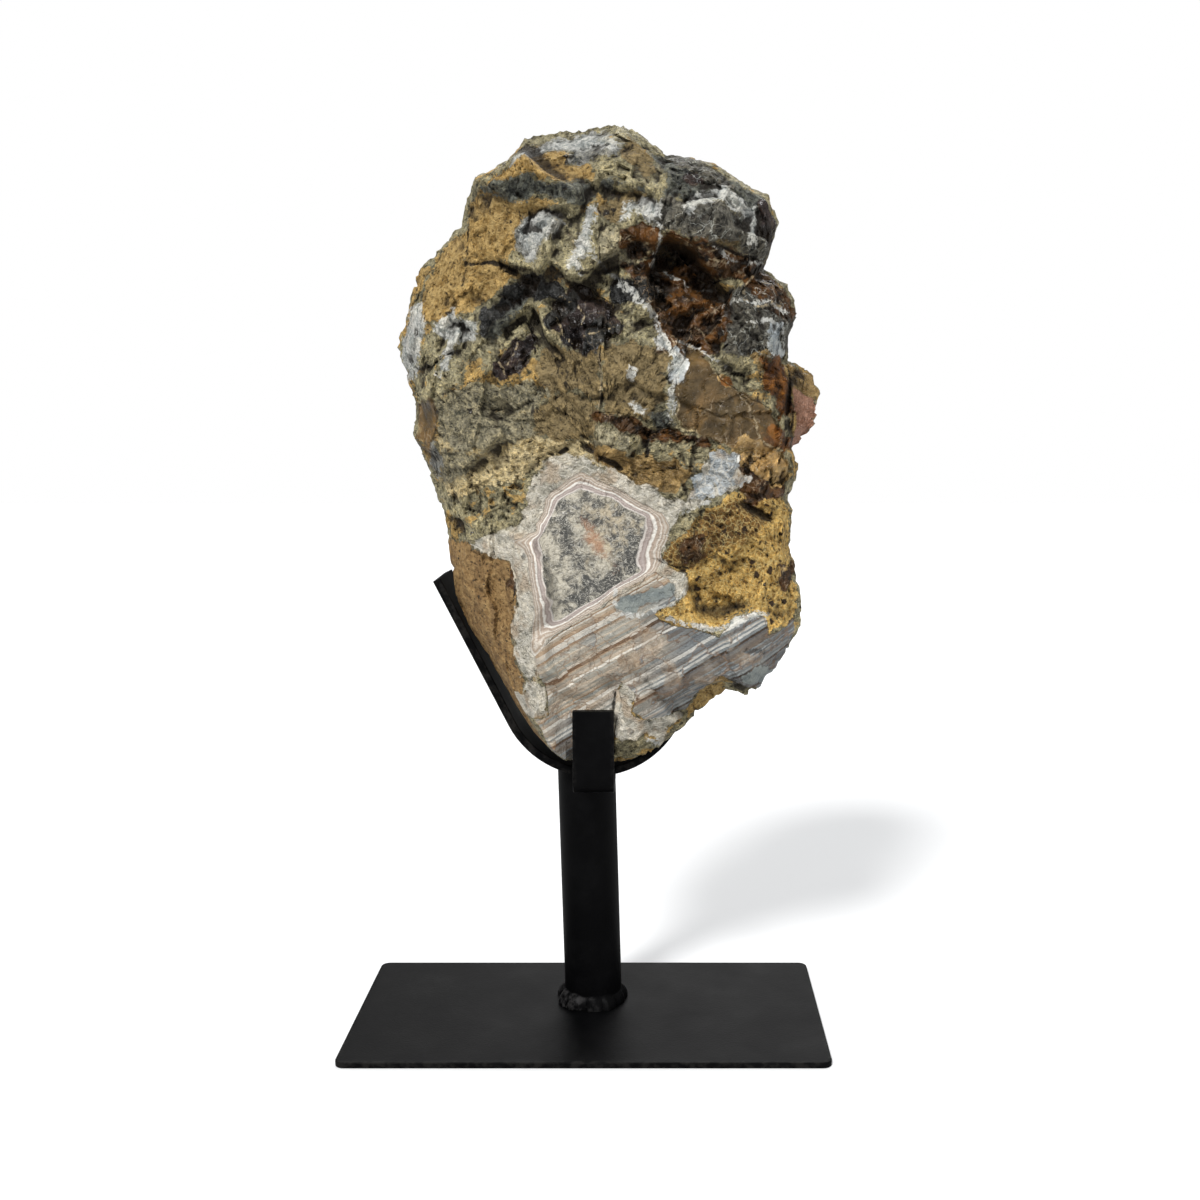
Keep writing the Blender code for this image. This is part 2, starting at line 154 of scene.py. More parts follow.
# Hollows and lumps: x, z, radius, depth
HOLLOWS = (
    (-47, 366, 6, 4), (-36, 361, 6, 5), (-27, 367, 6, 4), (60, 371, 11, 7), (36, 378, 9, 5),
    (-18, 399, 12, 4), (75, 236, 9, 4), (58, 240, 8, 4), (66, 219, 8, 3), (84, 246, 7, 3),
    (13, 180, 5, 5), (14, 164, 4, 4), (32, 157, 5, 4), (84, 381, 7, 6), (30, 327, 8, 3),
    (53, 250, 9, -5), (-44, 352, 9, -4), (66, 402, 8, -3), (-70, 318, 9, -4), (90, 344, 7, -3),
)
FACE_BLEND = 1.1
FACE_WANDER = 5
FACE_WANDER_SIZE = 13
# Layers of large chips: size, height and seed
CHIPS = ((24, 2.6, 10), (11, 1.3, 30))
# Layers of small chips: share of the chip height, size, seed, lift and lean
SMALL_CHIPS = ((1.2, 12, 60, 0.3, 1.8), (0.9, 5.5, 70, 0.4, 1.5), (0.42, 2.9, 80, 0.5, 1.2))
SMALL_CHIP_BEND = 2.6
# Bites out of the ragged rim, and the side's share of the front's relief
RIM_NOTCH = 2.2
SIDE_RELIEF = 0.8
# Depths and widths of cracks, and of seams between chips
CRACK_DEPTH = 2.2
SEAM_HALF = 1.3
SEAM_DEPTH = 0.5
# Rounds of averaging that tell dips from ridges, and the depth between them; the shader paints
# shade in the dips and a highlight on the ridges
CAVITY_ROUNDS = 24
CAVITY_RANGE = 7
# Oval where the large chips are calmer: middle, reach, share, and how fast it fades
CALM_MIDDLE = (14, 205)
CALM_REACH = (62, 78)
CALM_SHARE = 0.75
CALM_FADE = 2.5
# How far each mineral smooths the small relief
SMOOTHED = {
    "waterline": 0.9, "chalcedony": 0.75, "flank": 0.8, "grey_face": 0.5, "plates": 0.92,
    "ochre": 0.4, "pink": 0.7, "porous": 0.5, "tan_block": 0.4, "dark_green": 0.35,
}
MOST_SMOOTHED = 0.92
# How far minerals stand up from the rock or lie back in it
RAISED = {"crust": 0.8, "vein": 0.7, "chalcedony": 0.3, "flake": 0.4}
SUNKEN = {"slate": 1.3, "brown": 1.0, "glassy": 0.8}
BANDED_SUNKEN = 0.4
# Slope and height of the straight bands' steps
SLOPE = math.radians(29.5)
BAND_STEP = 2.6

# Minerals that show on the broken front: closed patches of (x, z)
PATCHES = {
    "heart": (
        ((-1.2, 276.5), (3.3, 275.8), (8.3, 273.6), (13.0, 272.3), (17.7, 269.5), (23.4, 265.9),
         (30.0, 263.7), (28.9, 257.1), (26.7, 250.4), (25.2, 244.6), (26.2, 240.6), (28.3, 238.2),
         (17.6, 232.9), (8.0, 226.7), (-1.6, 220.5), (-12.8, 213.9), (-13.9, 219.6), (-13.2, 224.1),
         (-15.8, 227.4), (-17.2, 234.3), (-18.0, 241.9), (-18.5, 247.5), (-20.5, 252.6),
         (-17.5, 256.9), (-15.4, 262.3), (-13.0, 267.4), (-10.6, 271.2), (-6.0, 274.3)),
    ),
    "fortified": (
        ((-1.1, 285.0), (4.6, 283.6), (12.1, 279.1), (21.6, 274.8), (27.2, 271.5), (31.9, 268.8),
         (38.1, 264.9), (41.0, 259.4), (40.3, 253.9), (37.2, 247.3), (37.8, 241.6), (34.8, 237.2),
         (17.6, 228.7), (11.8, 224.2), (0.2, 215.6), (-16.4, 205.4), (-22.1, 197.5), (-24.5, 201.6),
         (-23.1, 210.3), (-21.8, 218.5), (-23.2, 228.1), (-24.5, 235.7), (-24.8, 243.7),
         (-26.7, 248.7), (-33.8, 252.1), (-26.2, 254.7), (-21.4, 256.6), (-22.2, 260.7),
         (-18.4, 266.4), (-17.7, 272.1), (-13.8, 276.0), (-7.8, 280.7)),
    ),
    "chalcedony": (
        ((-26, 268), (-24, 277), (-20, 285), (-14, 290), (-6, 292), (3, 293), (12, 289), (18, 283),
         (26, 279), (36, 277), (44, 272), (49, 271), (51, 277), (57, 283), (58, 291), (63, 296),
         (70, 293), (72, 286), (80, 280), (72, 276), (63, 274), (56, 268), (48, 264), (42, 258),
         (41, 255), (38, 245), (41, 239), (48, 236), (50, 228), (42, 221), (30, 217), (19, 215),
         (-22, 192), (-17, 168), (-28, 166), (-32, 176), (-26, 185), (-32, 191), (-34, 201),
         (-35, 211), (-31, 218), (-32, 227), (-31, 235), (-34, 241), (-41, 243), (-48, 246),
         (-56, 250), (-49, 253), (-39, 256), (-29, 260)),
        ((14, 179), (21, 184), (25, 178), (24, 170), (30, 165), (42, 167), (49, 164), (41, 156),
         (38, 151), (30, 156), (17, 152), (14, 161)),
    ),
    "icy": (
        ((59, 294), (65, 296), (71, 294), (73, 288), (73, 281), (81, 281), (76, 278), (70, 278),
         (67, 274), (62, 282)),
        ((50, 282), (57, 284), (62, 280), (64, 274), (57, 270), (51, 272)),
        ((41, 338), (44, 342), (47, 339), (49, 333), (47, 326), (43, 328), (42, 333)),
        ((87, 354), (95, 353), (97, 346), (95, 339), (89, 339), (86, 346)),
    ),
    "waterline": (
        ((-22, 200), (3, 218), (21, 228), (34, 237), (42, 233), (44, 224), (33, 217), (42, 212),
         (57, 209), (65, 206), (73, 215), (82, 218), (88, 214), (89, 207), (97, 209), (104, 213),
         (98, 192), (86, 177), (78, 179), (67, 186), (56, 178), (50, 168), (42, 166), (30, 165),
         (24, 170), (25, 178), (19, 184), (16, 179), (14, 170), (1, 168), (-6, 141), (-15, 148),
         (-23, 166), (-17, 168), (-17, 177), (-21, 190)),
    ),
    "porous": (
        ((36, 242), (41, 252), (51, 256), (56, 263), (66, 271), (74, 274), (80, 277), (88, 277),
         (97, 270), (101, 264), (101, 249), (104, 238), (104, 213), (89, 210), (86, 217), (80, 219),
         (73, 215), (65, 210), (48, 213), (30, 217), (42, 221), (50, 227), (48, 236)),
    ),
    "porous_brown": (
        ((36, 242), (41, 252), (51, 256), (57, 263), (69, 269), (82, 271), (88, 261), (82, 254),
         (69, 250), (57, 245), (51, 238), (42, 240)),
    ),
    "ochre": (
        ((-48, 416), (-41, 419), (-33, 424), (-25, 428), (-17, 435), (-5, 434), (-7, 428), (3, 427),
         (8, 423), (6, 417), (-11, 418), (-23, 419), (-35, 416)),
        ((-56, 390), (-54, 411), (-47, 414), (-37, 411), (-32, 408), (-21, 410), (-9, 408),
         (-16, 405), (-26, 401), (-30, 397), (-29, 388), (-34, 385), (-41, 380), (-56, 379)),
        ((-62, 397), (-54, 395), (-55, 385), (-65, 373), (-74, 368), (-78, 371), (-71, 385)),
        ((19, 215), (30, 218), (42, 215), (60, 213), (73, 215), (65, 210), (56, 209), (42, 211),
         (30, 213)),
        ((49, 168), (56, 179), (67, 183), (69, 176), (58, 169), (50, 163)),
        ((26, 160), (34, 161), (38, 155), (36, 151), (29, 153)),
        ((-60, 383), (-48, 382), (-37, 381), (-30, 376), (-43, 364), (-63, 353), (-78, 354),
         (-78, 368), (-71, 373)),
    ),
    "flake": (
        ((-5, 199), (2, 202), (10, 201), (9, 197), (3, 194), (-5, 194)),
        ((16, 196), (21, 199), (28, 199), (27, 194), (22, 188), (17, 191)),
        ((27, 212), (36, 209), (39, 206), (38, 200), (33, 195), (27, 199), (28, 205)),
        ((36, 193), (42, 197), (48, 186), (43, 182), (38, 183), (40, 188)),
        ((-23, 198), (-18, 200), (-17, 188), (-21, 188)),
        ((53, 187), (63, 188), (68, 183), (60, 181), (54, 182)),
        ((70, 194), (77, 198), (87, 196), (84, 192), (76, 191)),
    ),
    "steel_blue": (
        ((75, 186), (84, 189), (93, 187), (90, 181), (84, 179), (79, 182)),
        ((17, 221), (18, 225), (22, 227), (30, 228), (42, 230), (44, 227), (37, 224), (27, 221),
         (21, 219)),
    ),
    "laced": (
        ((-68, 306), (-42, 311), (-23, 314), (-23, 301), (-6, 299), (7, 301), (15, 294), (8, 287),
         (-14, 288), (-27, 283), (-61, 271), (-71, 282), (-69, 297)),
    ),
    "tan_block": (
        ((-19, 339), (-14, 343), (3, 339), (10, 341), (9, 314), (-3, 323), (-14, 321), (-21, 326)),
        ((11, 343), (23, 346), (34, 343), (41, 339), (39, 328), (41, 319), (32, 310), (23, 308),
         (11, 310)),
        ((21, 443), (28, 436), (35, 429), (33, 421), (21, 427), (18, 434)),
        ((13, 408), (25, 414), (33, 412), (25, 408), (18, 400), (11, 401)),
        ((-23, 312), (-14, 321), (-3, 323), (9, 312), (7, 301), (-6, 299), (-21, 301)),
        ((56, 402), (68, 404), (76, 396), (74, 389), (65, 387), (56, 390)),
    ),
    "slate": (
        ((45, 420), (56, 424), (72, 420), (86, 413), (92, 402), (89, 385), (81, 385), (77, 398),
         (64, 409), (52, 407), (46, 410)),
        ((30, 438), (40, 434), (48, 428), (61, 424), (48, 420), (36, 427)),
        ((-50, 416), (-43, 417), (-35, 416), (-23, 419), (-11, 417), (2, 418), (7, 415), (8, 410),
         (2, 407), (-9, 409), (-21, 411), (-32, 408), (-37, 411), (-47, 414)),
        ((-48, 348), (-44, 357), (-39, 363), (-30, 369), (-23, 371), (-24, 363), (-31, 356),
         (-38, 348), (-44, 345)),
        ((9, 418), (16, 419), (19, 416), (12, 414)),
        ((25, 417), (30, 417), (29, 413), (25, 414)),
        ((38, 427), (45, 430), (59, 428), (62, 423), (59, 419), (52, 414), (45, 412), (42, 403),
         (38, 397), (37, 407), (40, 417)),
        ((80, 397), (87, 390), (85, 383), (78, 385), (74, 390)),
        ((34, 312), (41, 314), (44, 307), (37, 303), (33, 307)),
    ),
    "dark_green": (
        ((-69, 316), (-58, 322), (-47, 327), (-37, 323), (-24, 326), (-16, 323), (-23, 314),
         (-42, 312), (-54, 308), (-68, 306)),
        ((-69, 294), (-57, 296), (-46, 292), (-55, 283), (-67, 279)),
        ((34, 312), (41, 314), (44, 307), (37, 303), (33, 307)),
        ((-66, 310), (-51, 311), (-23, 313), (-23, 302), (-42, 294), (-60, 296), (-69, 301)),
    ),
    "black": (
        ((-47, 347), (-48, 354), (-44, 360), (-38, 365), (-34, 369), (-25, 375), (-21, 373),
         (-23, 367), (-29, 363), (-39, 355), (-43, 348)),
        ((-15, 359), (-11, 363), (-5, 369), (1, 372), (-5, 360), (-10, 353), (-13, 349)),
        ((1, 350), (10, 356), (19, 352), (14, 347), (7, 340), (0, 340)),
        ((-32, 372), (-25, 376), (-16, 375), (-20, 369), (-30, 368)),
        ((13, 373), (35, 376), (41, 367), (28, 361), (14, 363)),
        ((-27, 374), (-10, 375), (-6, 365), (-21, 363)),
    ),
    "glassy": (
        ((-14, 362), (-6, 370), (4, 371), (13, 364), (18, 353), (19, 350), (12, 344), (3, 339),
         (-6, 341), (-11, 344), (-15, 355)),
        ((-40, 335), (-32, 343), (-23, 352), (-20, 346), (-23, 337), (-28, 329), (-36, 326),
         (-39, 328)),
        ((82, 410), (88, 412), (92, 405), (92, 397), (87, 390), (84, 394), (84, 403)),
        ((49, 424), (56, 424), (57, 417), (52, 415), (48, 418)),
    ),
    "brown": (
        ((38, 392), (49, 392), (62, 388), (73, 385), (85, 381), (87, 376), (80, 372), (70, 374),
         (62, 375), (53, 380), (44, 382)),
        ((18, 381), (35, 386), (46, 382), (56, 379), (63, 372), (70, 364), (71, 353), (35, 353),
         (25, 369)),
        ((19, 397), (28, 399), (37, 395), (37, 391), (33, 386), (25, 382), (18, 389)),
        ((46, 363), (67, 365), (70, 354), (65, 345), (52, 345), (45, 352)),
        ((6, 311), (23, 311), (34, 305), (59, 302), (59, 298), (30, 299), (8, 308)),
        ((-33, 241), (-30, 236), (-31, 228), (-36, 231)),
        ((45, 250), (56, 255), (56, 242), (48, 240)),
        ((94, 238), (105, 239), (105, 232), (98, 229)),
        ((13, 180), (18, 180), (16, 161), (14, 145), (13, 161)),
        ((75, 374), (87, 378), (96, 371), (104, 361), (98, 354), (84, 364)),
        ((35, 364), (56, 366), (63, 365), (64, 340), (51, 336), (35, 338)),
        ((72, 292), (91, 295), (99, 285), (97, 271), (80, 268), (72, 281)),
    ),
    "grey_face": (
        ((8, 394), (18, 399), (21, 391), (25, 382), (16, 379), (9, 383)),
        ((8, 306), (21, 303), (23, 294), (15, 289), (7, 296)),
    ),
    "pale": (
        ((-34, 422), (-29, 434), (-18, 440), (-5, 442), (5, 444), (11, 440), (18, 436), (16, 430),
         (7, 432), (0, 427), (-7, 428), (-5, 434), (-17, 435), (-25, 428)),
        ((-30, 397), (-26, 401), (-17, 404), (-8, 404), (-5, 400), (-10, 395), (-16, 393),
         (-18, 388), (-21, 381), (-28, 382), (-31, 389)),
        ((-75, 292), (-70, 301), (-68, 294), (-67, 284), (-71, 280), (-75, 286)),
    ),
    "dusky": (
        ((50, 400), (61, 406), (67, 406), (73, 401), (76, 397), (72, 390), (62, 389), (54, 391)),
        ((62, 365), (79, 370), (97, 369), (104, 357), (103, 344), (93, 337), (66, 339)),
        ((32, 408), (51, 409), (69, 406), (71, 396), (55, 392), (33, 395)),
        ((71, 406), (84, 404), (90, 392), (88, 379), (75, 377), (73, 390)),
        ((36, 445), (55, 432), (71, 417), (62, 414), (51, 422), (41, 433)),
    ),
    "crust": (
        ((3, 404), (6, 407), (9, 405), (6, 397), (5, 390), (6, 384), (1, 382), (1, 377), (-5, 377),
         (-6, 380), (-3, 385), (-1, 392), (2, 397)),
        ((19, 402), (21, 408), (27, 408), (29, 411), (34, 410), (37, 407), (37, 402), (33, 399),
         (29, 401), (25, 404), (21, 401)),
        ((48, 401), (48, 407), (54, 412), (61, 414), (66, 417), (70, 415), (73, 411), (76, 407),
         (81, 408), (83, 398), (82, 389), (78, 388), (78, 397), (73, 402), (67, 407), (61, 407),
         (54, 406), (50, 399)),
        ((-90, 347), (-85, 362), (-77, 364), (-74, 354), (-77, 343), (-79, 330), (-86, 327),
         (-90, 340)),
        ((-67, 356), (-61, 362), (-57, 355), (-48, 354), (-50, 346), (-60, 341), (-63, 331),
         (-68, 329), (-65, 345), (-69, 350)),
        ((34, 346), (39, 348), (44, 341), (49, 335), (49, 330), (44, 326), (40, 332), (41, 337),
         (36, 341)),
        ((42, 325), (44, 326), (45, 317), (43, 308), (42, 310), (41, 317)),
        ((30, 153), (36, 153), (38, 150), (33, 149)),
        ((23, 334), (26, 334), (27, 328), (24, 327)),
        ((24, 317), (30, 316), (33, 311), (26, 312)),
    ),
    "cotton": (
        ((-31, 424), (-27, 433), (-17, 440), (-1, 444), (13, 444), (18, 440), (15, 434), (3, 437),
         (-7, 434), (-17, 435), (-24, 429)),
        ((-29, 392), (-25, 384), (-21, 381), (-17, 390), (-9, 399), (-16, 404), (-24, 402),
         (-29, 398)),
    ),
    "plates": (
        ((44, 330), (52, 343), (65, 328), (89, 314), (97, 301), (93, 292), (78, 294), (59, 301),
         (45, 305)),
        ((-81, 316), (-72, 316), (-69, 310), (-71, 301), (-74, 292), (-81, 301)),
    ),
    "amber": (
        ((69, 296), (78, 301), (92, 296), (99, 288), (98, 277), (86, 278), (78, 285), (72, 290)),
        ((91, 335), (100, 323), (103, 312), (100, 309), (92, 320), (84, 331), (78, 339), (85, 341)),
        ((64, 329), (68, 330), (72, 325), (68, 324)),
        ((-1, 297), (6, 291), (15, 286), (27, 278), (44, 275), (54, 284), (46, 290), (27, 291),
         (12, 297)),
        ((98, 335), (112, 333), (118, 321), (112, 318), (104, 322), (99, 326)),
    ),
    "rust": (
        ((83, 337), (92, 340), (99, 328), (102, 312), (95, 310), (89, 321), (85, 328)),
        ((84, 302), (95, 307), (102, 297), (97, 293), (89, 296)),
        ((66, 328), (71, 329), (71, 325), (66, 325)),
    ),
    "pink": (
        ((102, 324), (108, 321), (117, 316), (115, 306), (109, 297), (101, 294), (102, 310)),
    ),
    "flank": (
        ((-83, 248), (-56, 250), (-48, 246), (-34, 241), (-32, 233), (-32, 227), (-31, 218),
         (-35, 211), (-34, 201), (-32, 191), (-26, 185), (-32, 176), (-28, 166), (-14, 138),
         (-36, 158), (-84, 205)),
    ),
}
# White veins on the front: half width, then points of (x, z)
VEINS = (
    (1.3, ((40, 215), (52, 212), (64, 209), (69, 212), (75, 214), (83, 217), (89, 216))),
    (0.9, ((16, 229), (15, 223), (19, 218), (29, 217), (36, 220), (44, 222), (48, 228))),
    (1.0, ((6, 383), (13, 377), (21, 371), (28, 363), (35, 355))),
    (1.0, ((18, 372), (27, 362), (34, 357), (36, 350), (39, 346))),
    (0.8, ((25, 408), (33, 402), (37, 398), (38, 392), (35, 387), (33, 380))),
    (0.7, ((35, 379), (46, 375), (51, 370), (63, 370), (67, 364))),
    (0.7, ((61, 388), (69, 383), (78, 381), (86, 380))),
    (0.8, ((70, 363), (77, 363), (88, 363), (98, 360))),
    (0.8, ((77, 353), (87, 355), (96, 352), (96, 345))),
    (0.8, ((45, 345), (54, 342), (61, 337), (68, 334))),
    (0.7, ((48, 264), (57, 269), (64, 272))),
)
# Cracks and small pockets on the front, painted near black as shade in them: half width, then
# points of (x, z)
SHADED_CRACKS = (
    (0.5, ((-15, 340), (-10, 335), (-11, 329), (-7, 323))),
    (0.5, ((-5, 341), (-2, 334), (4, 331), (8, 336))),
    (0.5, ((-11, 329), (-2, 327), (4, 331))),
    (0.8, ((-54, 399), (-54, 386), (-56, 371))),
    (0.7, ((13, 416), (18, 411), (16, 403))),
    (0.7, ((40, 414), (38, 404), (41, 392))),
    (0.5, ((-23, 312), (-23, 320), (-18, 323))),
    (0.6, ((-65, 320), (-50, 327), (-38, 330))),
    (1.6, ((-10, 293), (-7, 294))),
    (1.2, ((3, 295), (5, 294))),
    (1.4, ((9, 292), (14, 290), (18, 287))),
    (0.6, ((30, 297), (31, 291))),
    (1.3, ((-26, 373), (-23, 372))),
    (1.0, ((-30, 365), (-28, 362))),
    (0.9, ((15, 178), (14, 174), (14, 165), (14, 154), (14, 145))),
    (0.7, ((31, 308), (31, 301), (30, 291))),
    (0.6, ((7, 310), (19, 311), (30, 309), (31, 306))),
    (0.3, ((32, 300), (45, 300), (59, 299), (65, 298))),
    (0.5, ((-23, 311), (-14, 319), (-3, 323))),
    (0.5, ((9, 342), (10, 328), (9, 310))),
    (0.6, ((-13, 336), (-6, 331), (-8, 325), (-3, 323))),
    (0.5, ((-1, 337), (-4, 331), (1, 326))),
    (1.0, ((-55, 381), (-45, 381), (-32, 379), (-21, 376))),
    (0.8, ((37, 398), (42, 408), (46, 417))),
    (1.0, ((1, 377), (11, 378), (21, 381), (35, 386), (46, 383))),
    (0.8, ((49, 398), (52, 389), (62, 388), (74, 385), (86, 380))),
    (0.8, ((63, 375), (75, 373), (87, 377))),
    (0.1, ((44, 329), (55, 314), (65, 299))),
    (0.1, ((66, 328), (78, 314), (84, 299))),
    (0.7, ((99, 335), (100, 323), (101, 308), (101, 295))),
    (0.6, ((-70, 319), (-50, 326), (-32, 343), (-21, 354), (-13, 362))),
    (0.6, ((-31, 234), (-34, 223), (-33, 208))),
    (0.8, ((36, 242), (42, 240), (50, 238))),
    (0.8, ((24, 440), (18, 432), (11, 428))),
    (0.7, ((8, 408), (11, 399), (8, 390), (9, 381))),
)
# Broken edges on the front, painted pale as highlights: half width, then points of (x, z)
EDGE_HIGHLIGHTS = (
    (0.5, ((43, 345), (49, 344), (54, 341), (60, 338), (64, 333), (65, 328))),
    (0.4, ((66, 328), (72, 323), (78, 316), (79, 313))),
    (0.5, ((78, 313), (83, 306), (84, 300), (93, 295), (100, 291))),
    (0.4, ((45, 328), (46, 320), (45, 309))),
    (0.4, ((77, 369), (76, 363), (83, 359), (93, 364))),
    (0.4, ((46, 379), (55, 375), (64, 371), (68, 363))),
    (0.4, ((81, 375), (77, 369), (79, 362), (90, 361), (97, 366))),
    (0.4, ((49, 355), (56, 349), (59, 342))),
    (0.4, ((84, 299), (81, 291), (85, 279))),
    (0.45, ((-10, 366), (-7, 363), (-2, 362))),
    (0.45, ((-2, 360), (1, 356), (0, 353))),
    (0.45, ((1, 347), (8, 349), (15, 352))),
    (0.4, ((-11, 356), (-8, 347), (-2, 343))),
    (0.4, ((-29, 345), (-31, 339), (-34, 334))),
    (0.4, ((-39, 337), (-35, 332), (-35, 327))),
    (0.45, ((9, 339), (10, 329), (8, 313))),
    (0.45, ((-10, 400), (-4, 392), (-2, 384))),
    (0.4, ((36, 398), (48, 390), (60, 386), (77, 385))),
    (0.4, ((12, 395), (22, 391), (36, 390), (49, 383))),
    (0.4, ((57, 383), (69, 381), (77, 375), (90, 373))),
)
# Colours of the minerals: words for their settings, then the darker and the lighter one
MINERAL_COLORS = {
    "rind": ("rind rock", (0.103, 0.0925, 0.0517), (0.391, 0.349, 0.219)),
    "flank": ("smooth tan flank", (0.177, 0.0954, 0.0311), (0.353, 0.224, 0.0914)),
    "laced": ("laced rock", (0.254, 0.198, 0.0984), (0.604, 0.5, 0.292)),
    "tan_block": ("cracked tan rock", (0.0945, 0.0676, 0.027), (0.245, 0.183, 0.0883)),
    "dark_green": ("dark green-grey rock", (0.0461, 0.0448, 0.0303), (0.303, 0.269, 0.179)),
    "grey_face": ("grey-green faces", (0.104, 0.0941, 0.0577), (0.394, 0.353, 0.239)),
    "ochre": ("ochre rock", (0.172, 0.0989, 0.0215), (0.43, 0.297, 0.116)),
    "porous": ("porous ochre", (0.254, 0.146, 0.0345), (0.566, 0.373, 0.113)),
    "porous_brown": ("brown porous rock", (0.0549, 0.0265, 0.00574), (0.257, 0.146, 0.0383)),
    "black": ("black glassy rock", (0.003, 0.003, 0.003), (0.04, 0.04, 0.038)),
    "slate": ("slate-grey layers", (0.00609, 0.00761, 0.00875), (0.141, 0.146, 0.123)),
    "brown": ("dark brown rock", (0.00477, 0.00252, 0.00101), (0.0873, 0.0386, 0.00924)),
    "glassy": ("smoky glassy rock", (0.00469, 0.00391, 0.00449), (0.043, 0.0313, 0.0284)),
    "plates": ("translucent plates", (0.0353, 0.0226, 0.00787), (0.0997, 0.0675, 0.0289)),
    "amber": ("golden plates", (0.17, 0.105, 0.036), (0.4, 0.27, 0.11)),
    "rust": ("iron stain", (0.0337, 0.0106, 0.00171), (0.215, 0.0818, 0.0125)),
    "pink": ("pink chalcedony", (0.17, 0.075, 0.04), (0.42, 0.23, 0.155)),
    "pale": ("blue-grey crystals", (0.0361, 0.0404, 0.0404), (0.268, 0.264, 0.24)),
    "dusky": ("dusky rock", (0.0112, 0.0104, 0.008), (0.124, 0.116, 0.0944)),
    "steel_blue": ("blue-grey chalcedony", (0.13, 0.155, 0.16), (0.25, 0.27, 0.25)),
    "flake": ("cream flakes", (0.22, 0.149, 0.09), (0.38, 0.288, 0.194)),
    "chalcedony": ("milky chalcedony", (0.314, 0.296, 0.239), (0.678, 0.616, 0.497)),
    "icy": ("icy chalcedony", (0.24, 0.272, 0.29), (0.52, 0.545, 0.545)),
    "crust": ("white crust", (0.269, 0.29, 0.278), (0.604, 0.599, 0.558)),
    "quartz": ("quartz grains", (0.0802, 0.0785, 0.071), (0.519, 0.474, 0.376)),
}
PATCH_SOFTNESS = 3
PATCH_WANDER = 1.8
LINE_WANDER = 1.2
LINE_SOFTNESS = 4
EXACT_WANDER = 0.7
EXACT_PATCHES = ("heart", "fortified", "waterline", "flake", "steel_blue")
# Where the front's minerals give way to plain rock: middle, fade and last y
FRONT_END_Y = 9
FRONT_FADE = 6
FRONT_LAST_Y = 30

# Order in which minerals are laid over the rind rock, the glossy ones with their roughness
ROUGH_MINERALS = (
    "flank", "laced", "tan_block", "grey_face", "dark_green", "ochre", "porous", "porous_brown",
    "slate", "pale", "dusky",
)
GLOSSY_MINERALS = (
    ("brown", 0.4), ("glassy", 0.2), ("black", 0.2), ("plates", 0.3), ("amber", 0.3),
    ("rust", 0.35), ("pink", 0.25), ("chalcedony", 0.35), ("icy", 0.25),
)
# Bands: place from 0 to 1 and colour of each stop
WARM_BANDS = (
    (0.12, (0.17, 0.10, 0.055)), (0.26, (0.38, 0.27, 0.175)), (0.36, (0.23, 0.24, 0.215)),
    (0.46, (0.44, 0.35, 0.255)), (0.54, (0.30, 0.30, 0.265)), (0.64, (0.52, 0.45, 0.35)),
    (0.74, (0.36, 0.26, 0.175)), (0.84, (0.74, 0.69, 0.59)), (0.95, (0.50, 0.49, 0.44)),
)
COOL_BANDS = (
    (0.12, (0.05, 0.032, 0.02)), (0.26, (0.15, 0.16, 0.165)), (0.36, (0.12, 0.09, 0.065)),
    (0.46, (0.19, 0.205, 0.205)), (0.54, (0.13, 0.14, 0.145)), (0.64, (0.29, 0.31, 0.305)),
    (0.74, (0.17, 0.115, 0.075)), (0.84, (0.46, 0.465, 0.435)), (0.95, (0.23, 0.24, 0.235)),
)
WALL_BANDS = (
    (0.00, (0.20, 0.185, 0.165)), (0.05, (0.62, 0.57, 0.52)), (0.11, (0.66, 0.60, 0.54)),
    (0.15, (0.36, 0.29, 0.26)), (0.28, (0.47, 0.40, 0.365)), (0.35, (0.32, 0.25, 0.215)),
    (0.42, (0.74, 0.70, 0.63)), (0.50, (0.80, 0.77, 0.70)), (0.55, (0.40, 0.31, 0.245)),
    (0.66, (0.44, 0.36, 0.29)), (0.71, (0.70, 0.65, 0.57)), (0.77, (0.36, 0.27, 0.20)),
    (0.86, (0.58, 0.52, 0.44)), (0.93, (0.33, 0.25, 0.18)), (1.00, (0.60, 0.56, 0.49)),
)
MILKY_BANDS = (
    (0.36, (0.20, 0.215, 0.21)), (0.44, (0.50, 0.50, 0.46)), (0.48, (0.30, 0.32, 0.315)),
    (0.52, (0.62, 0.60, 0.54)), (0.56, (0.34, 0.27, 0.20)), (0.64, (0.42, 0.43, 0.41)),
)
# Middles of the cream patch and of the warm stain in the quartz
CREAM_MIDDLE = (0.014, -0.037, 0.258)
STAIN_MIDDLE = (0.0065, -0.037, 0.2515)

# Soft lights: height, turn from straight in front and width in degrees, then power
SUNS = {
    "key_light": (44, -28, 16, 2.9), "front_fill": (16, 28, 60, 0.7),
    "right_fill": (25, 85, 60, 0.5), "back_light": (42, 175, 40, 1.5),
}


def color_setting(name, description, default):
    """A colour setting."""
    return FloatVectorProperty(
        name=name, description=description, default=default, subtype="COLOR", min=0.0, max=1.0
    )


def length_setting(name, description, default):
    """A length setting, in metres."""
    return FloatProperty(
        name=name, description=description, default=default, min=0.0, unit="LENGTH", precision=4
    )


# Settings
class AgateSettings(bpy.types.PropertyGroup):
    """Relief and colours of the stone."""

    chip_height: length_setting("Chip height", "How far small broken chips stand up", 1.1 * MM)
    grain_height: length_setting("Grain height", "How far the fine grain stands up", 0.35 * MM)
    pit_depth: length_setting("Pit depth", "Depth of the round pits in the ochre rock", 1.5 * MM)


for mineral, (words, *tones) in MINERAL_COLORS.items():
    for shade, tone in zip(("dark", "light"), tones):
        AgateSettings.__annotations__[f"{mineral}_{shade}"] = color_setting(
            f"{mineral} {shade}".replace("_", " ").capitalize(), f"{shade.title()}er {words}", tone
        )


